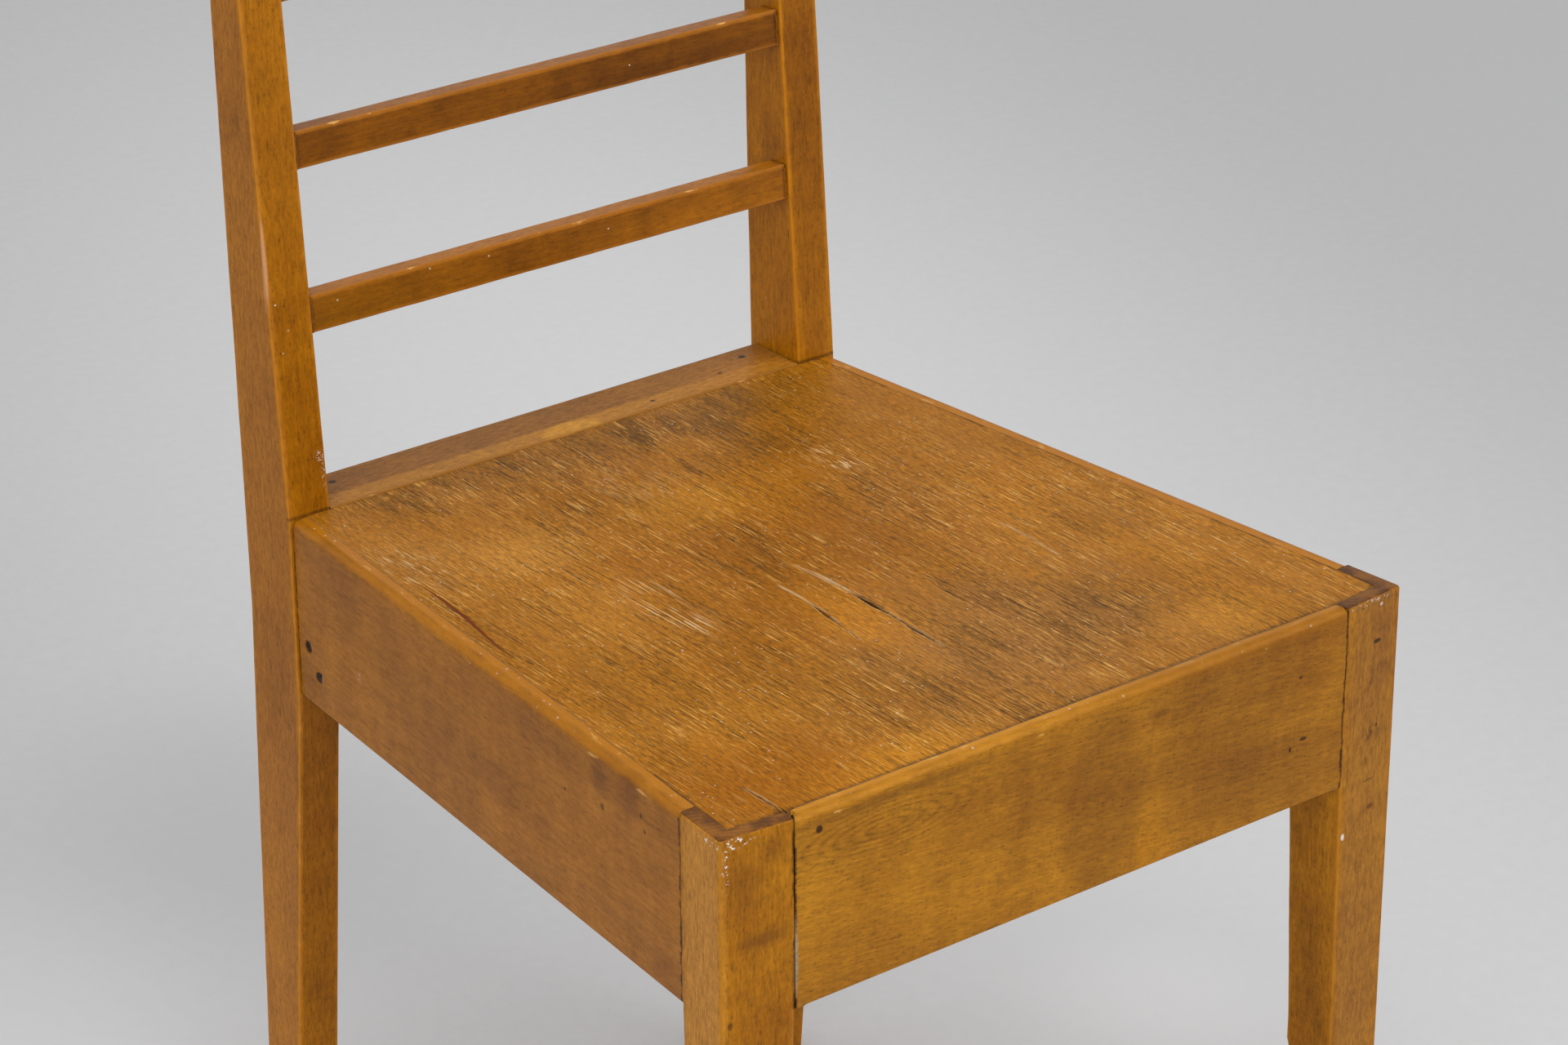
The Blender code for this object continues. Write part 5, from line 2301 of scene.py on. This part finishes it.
@dataclass
class Studio:
    """Camera at the photograph's angle, soft lights and a pale paper floor."""

    camera_place: Triple = (-1.28209, -1.65569, 1.43906)
    azimuth: float = -0.66063
    elevation: float = 0.4327
    roll: float = -0.00593
    lens: float = 106.93
    sensor: float = 36.0
    floor_size: float = 30.0
    sky: float = 0.7
    sky_colour: Colour = (1.0, 1.0, 1.0)
    backdrop: Colour = tone(186, 186, 187)
    lamp_aim: Triple = (0.0, 0.0, 0.42)

    def build(self) -> None:
        """Builds the camera, the floor and the lights."""
        bpy.context.scene.view_settings.view_transform = "Standard"
        self.make_camera()
        self.make_floor()
        self.make_sky()
        self.make_lamp("front_left_softbox", place=(-3.2, -3.8, 5.0), size=5.0, power=174.0)
        self.make_lamp("front_right_softbox", place=(3.4, -4.4, 4.2), size=4.0, power=92.0)

    def make_camera(self) -> None:
        """Sets the camera where the photograph was taken from."""
        data = bpy.data.cameras.new("photograph_camera")
        data.sensor_fit = "HORIZONTAL"
        data.sensor_width = self.sensor
        data.lens = self.lens
        camera = bpy.data.objects.new("photograph_camera", data)
        level = math.cos(self.elevation)
        across, back = math.sin(self.azimuth) * level, -math.cos(self.azimuth) * level
        view = -Vector((across, back, math.sin(self.elevation)))
        turn = view.to_track_quat("-Z", "Y").to_matrix().to_4x4()
        rolled = turn @ Matrix.Rotation(self.roll, 4, "Z")
        camera.matrix_world = Matrix.Translation(self.camera_place) @ rolled
        bpy.context.scene.collection.objects.link(camera)
        bpy.context.scene.camera = camera

    def make_floor(self) -> None:
        """Lays the paper floor."""
        bm = bmesh.new()
        bmesh.ops.create_grid(bm, x_segments=2, y_segments=2, size=self.floor_size / 2)
        mesh = bpy.data.meshes.new("paper_floor")
        bm.to_mesh(mesh)
        bm.free()
        mesh.materials.append(StudioPaper().material("studio_paper"))
        floor = bpy.data.objects.new("paper_floor", mesh)
        bpy.context.scene.collection.objects.link(floor)

    def make_sky(self) -> None:
        """Lights the scene evenly from all round, and shows a pale backdrop to the camera."""
        world = bpy.data.worlds.new("studio_sky")
        recipe = Recipe(world)
        path = recipe.node("ShaderNodeLightPath", output="Is Camera Ray")
        lighting = {"Color": self.sky_colour, "Strength": self.sky}
        light = recipe.node("ShaderNodeBackground", None, lighting)
        shown = recipe.node("ShaderNodeBackground", None, {"Color": self.backdrop})
        chosen = recipe.node("ShaderNodeMixShader", None, {0: path, 1: light, 2: shown})
        recipe.add("ShaderNodeOutputWorld", None, {"Surface": chosen})
        bpy.context.scene.world = world

    def make_lamp(self, name: str, place: Triple, size: float, power: float) -> None:
        """Hangs a large soft lamp that points at the seat.

        Args:
            name: Name of the lamp.
            place: Its place.
            size: Width of its square face.
            power: Power in watts.
        """
        data = bpy.data.lights.new(name, "AREA")
        data.shape = "SQUARE"
        data.size = size
        data.energy = power
        lamp = bpy.data.objects.new(name, data)
        aim = Vector(self.lamp_aim) - Vector(place)
        turn = aim.to_track_quat("-Z", "Y").to_matrix().to_4x4()
        lamp.matrix_world = Matrix.Translation(place) @ turn
        bpy.context.scene.collection.objects.link(lamp)


def dress_nails(nodes: Mapping[str, Piece]) -> list[Piece]:
    """Gives the nails, which keep their CAD shape, their steel.

    Args:
        nodes: CAD nodes by name.

    Returns:
        The nails.
    """
    steel = DarkSteel(steel=tone(46, 42, 40), dark=tone(20, 18, 17)).material("nail_steel")
    nails = [node for name, node in nodes.items() if name.endswith("_nail")]
    for nail in nails:
        nail.data.materials.clear()
        nail.data.materials.append(steel)
    return nails


def main() -> None:
    """Loads the frame, builds and dresses every piece, and sets up the studio."""
    logging.basicConfig(level=logging.INFO, format="%(name)s: %(message)s")
    for old in list(bpy.data.objects):
        bpy.data.objects.remove(old)
    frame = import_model()
    plan = SeatPlan()
    assemblies = (
        FrontLegs(plan),
        RearPosts(plan),
        Aprons(plan),
        RearBoards(plan),
        BackSlats(plan),
        SeatPanel(plan),
        CornerBlocks(plan),
    )
    for assembly in assemblies:
        for piece in assembly.build():
            log.info("%s: %d faces", piece.name, len(piece.data.polygons))
    for nail in dress_nails(frame["nodes"]):
        log.info("%s: kept from the frame", nail.name)
    Studio().build()


if __name__ == "__main__":
    main()
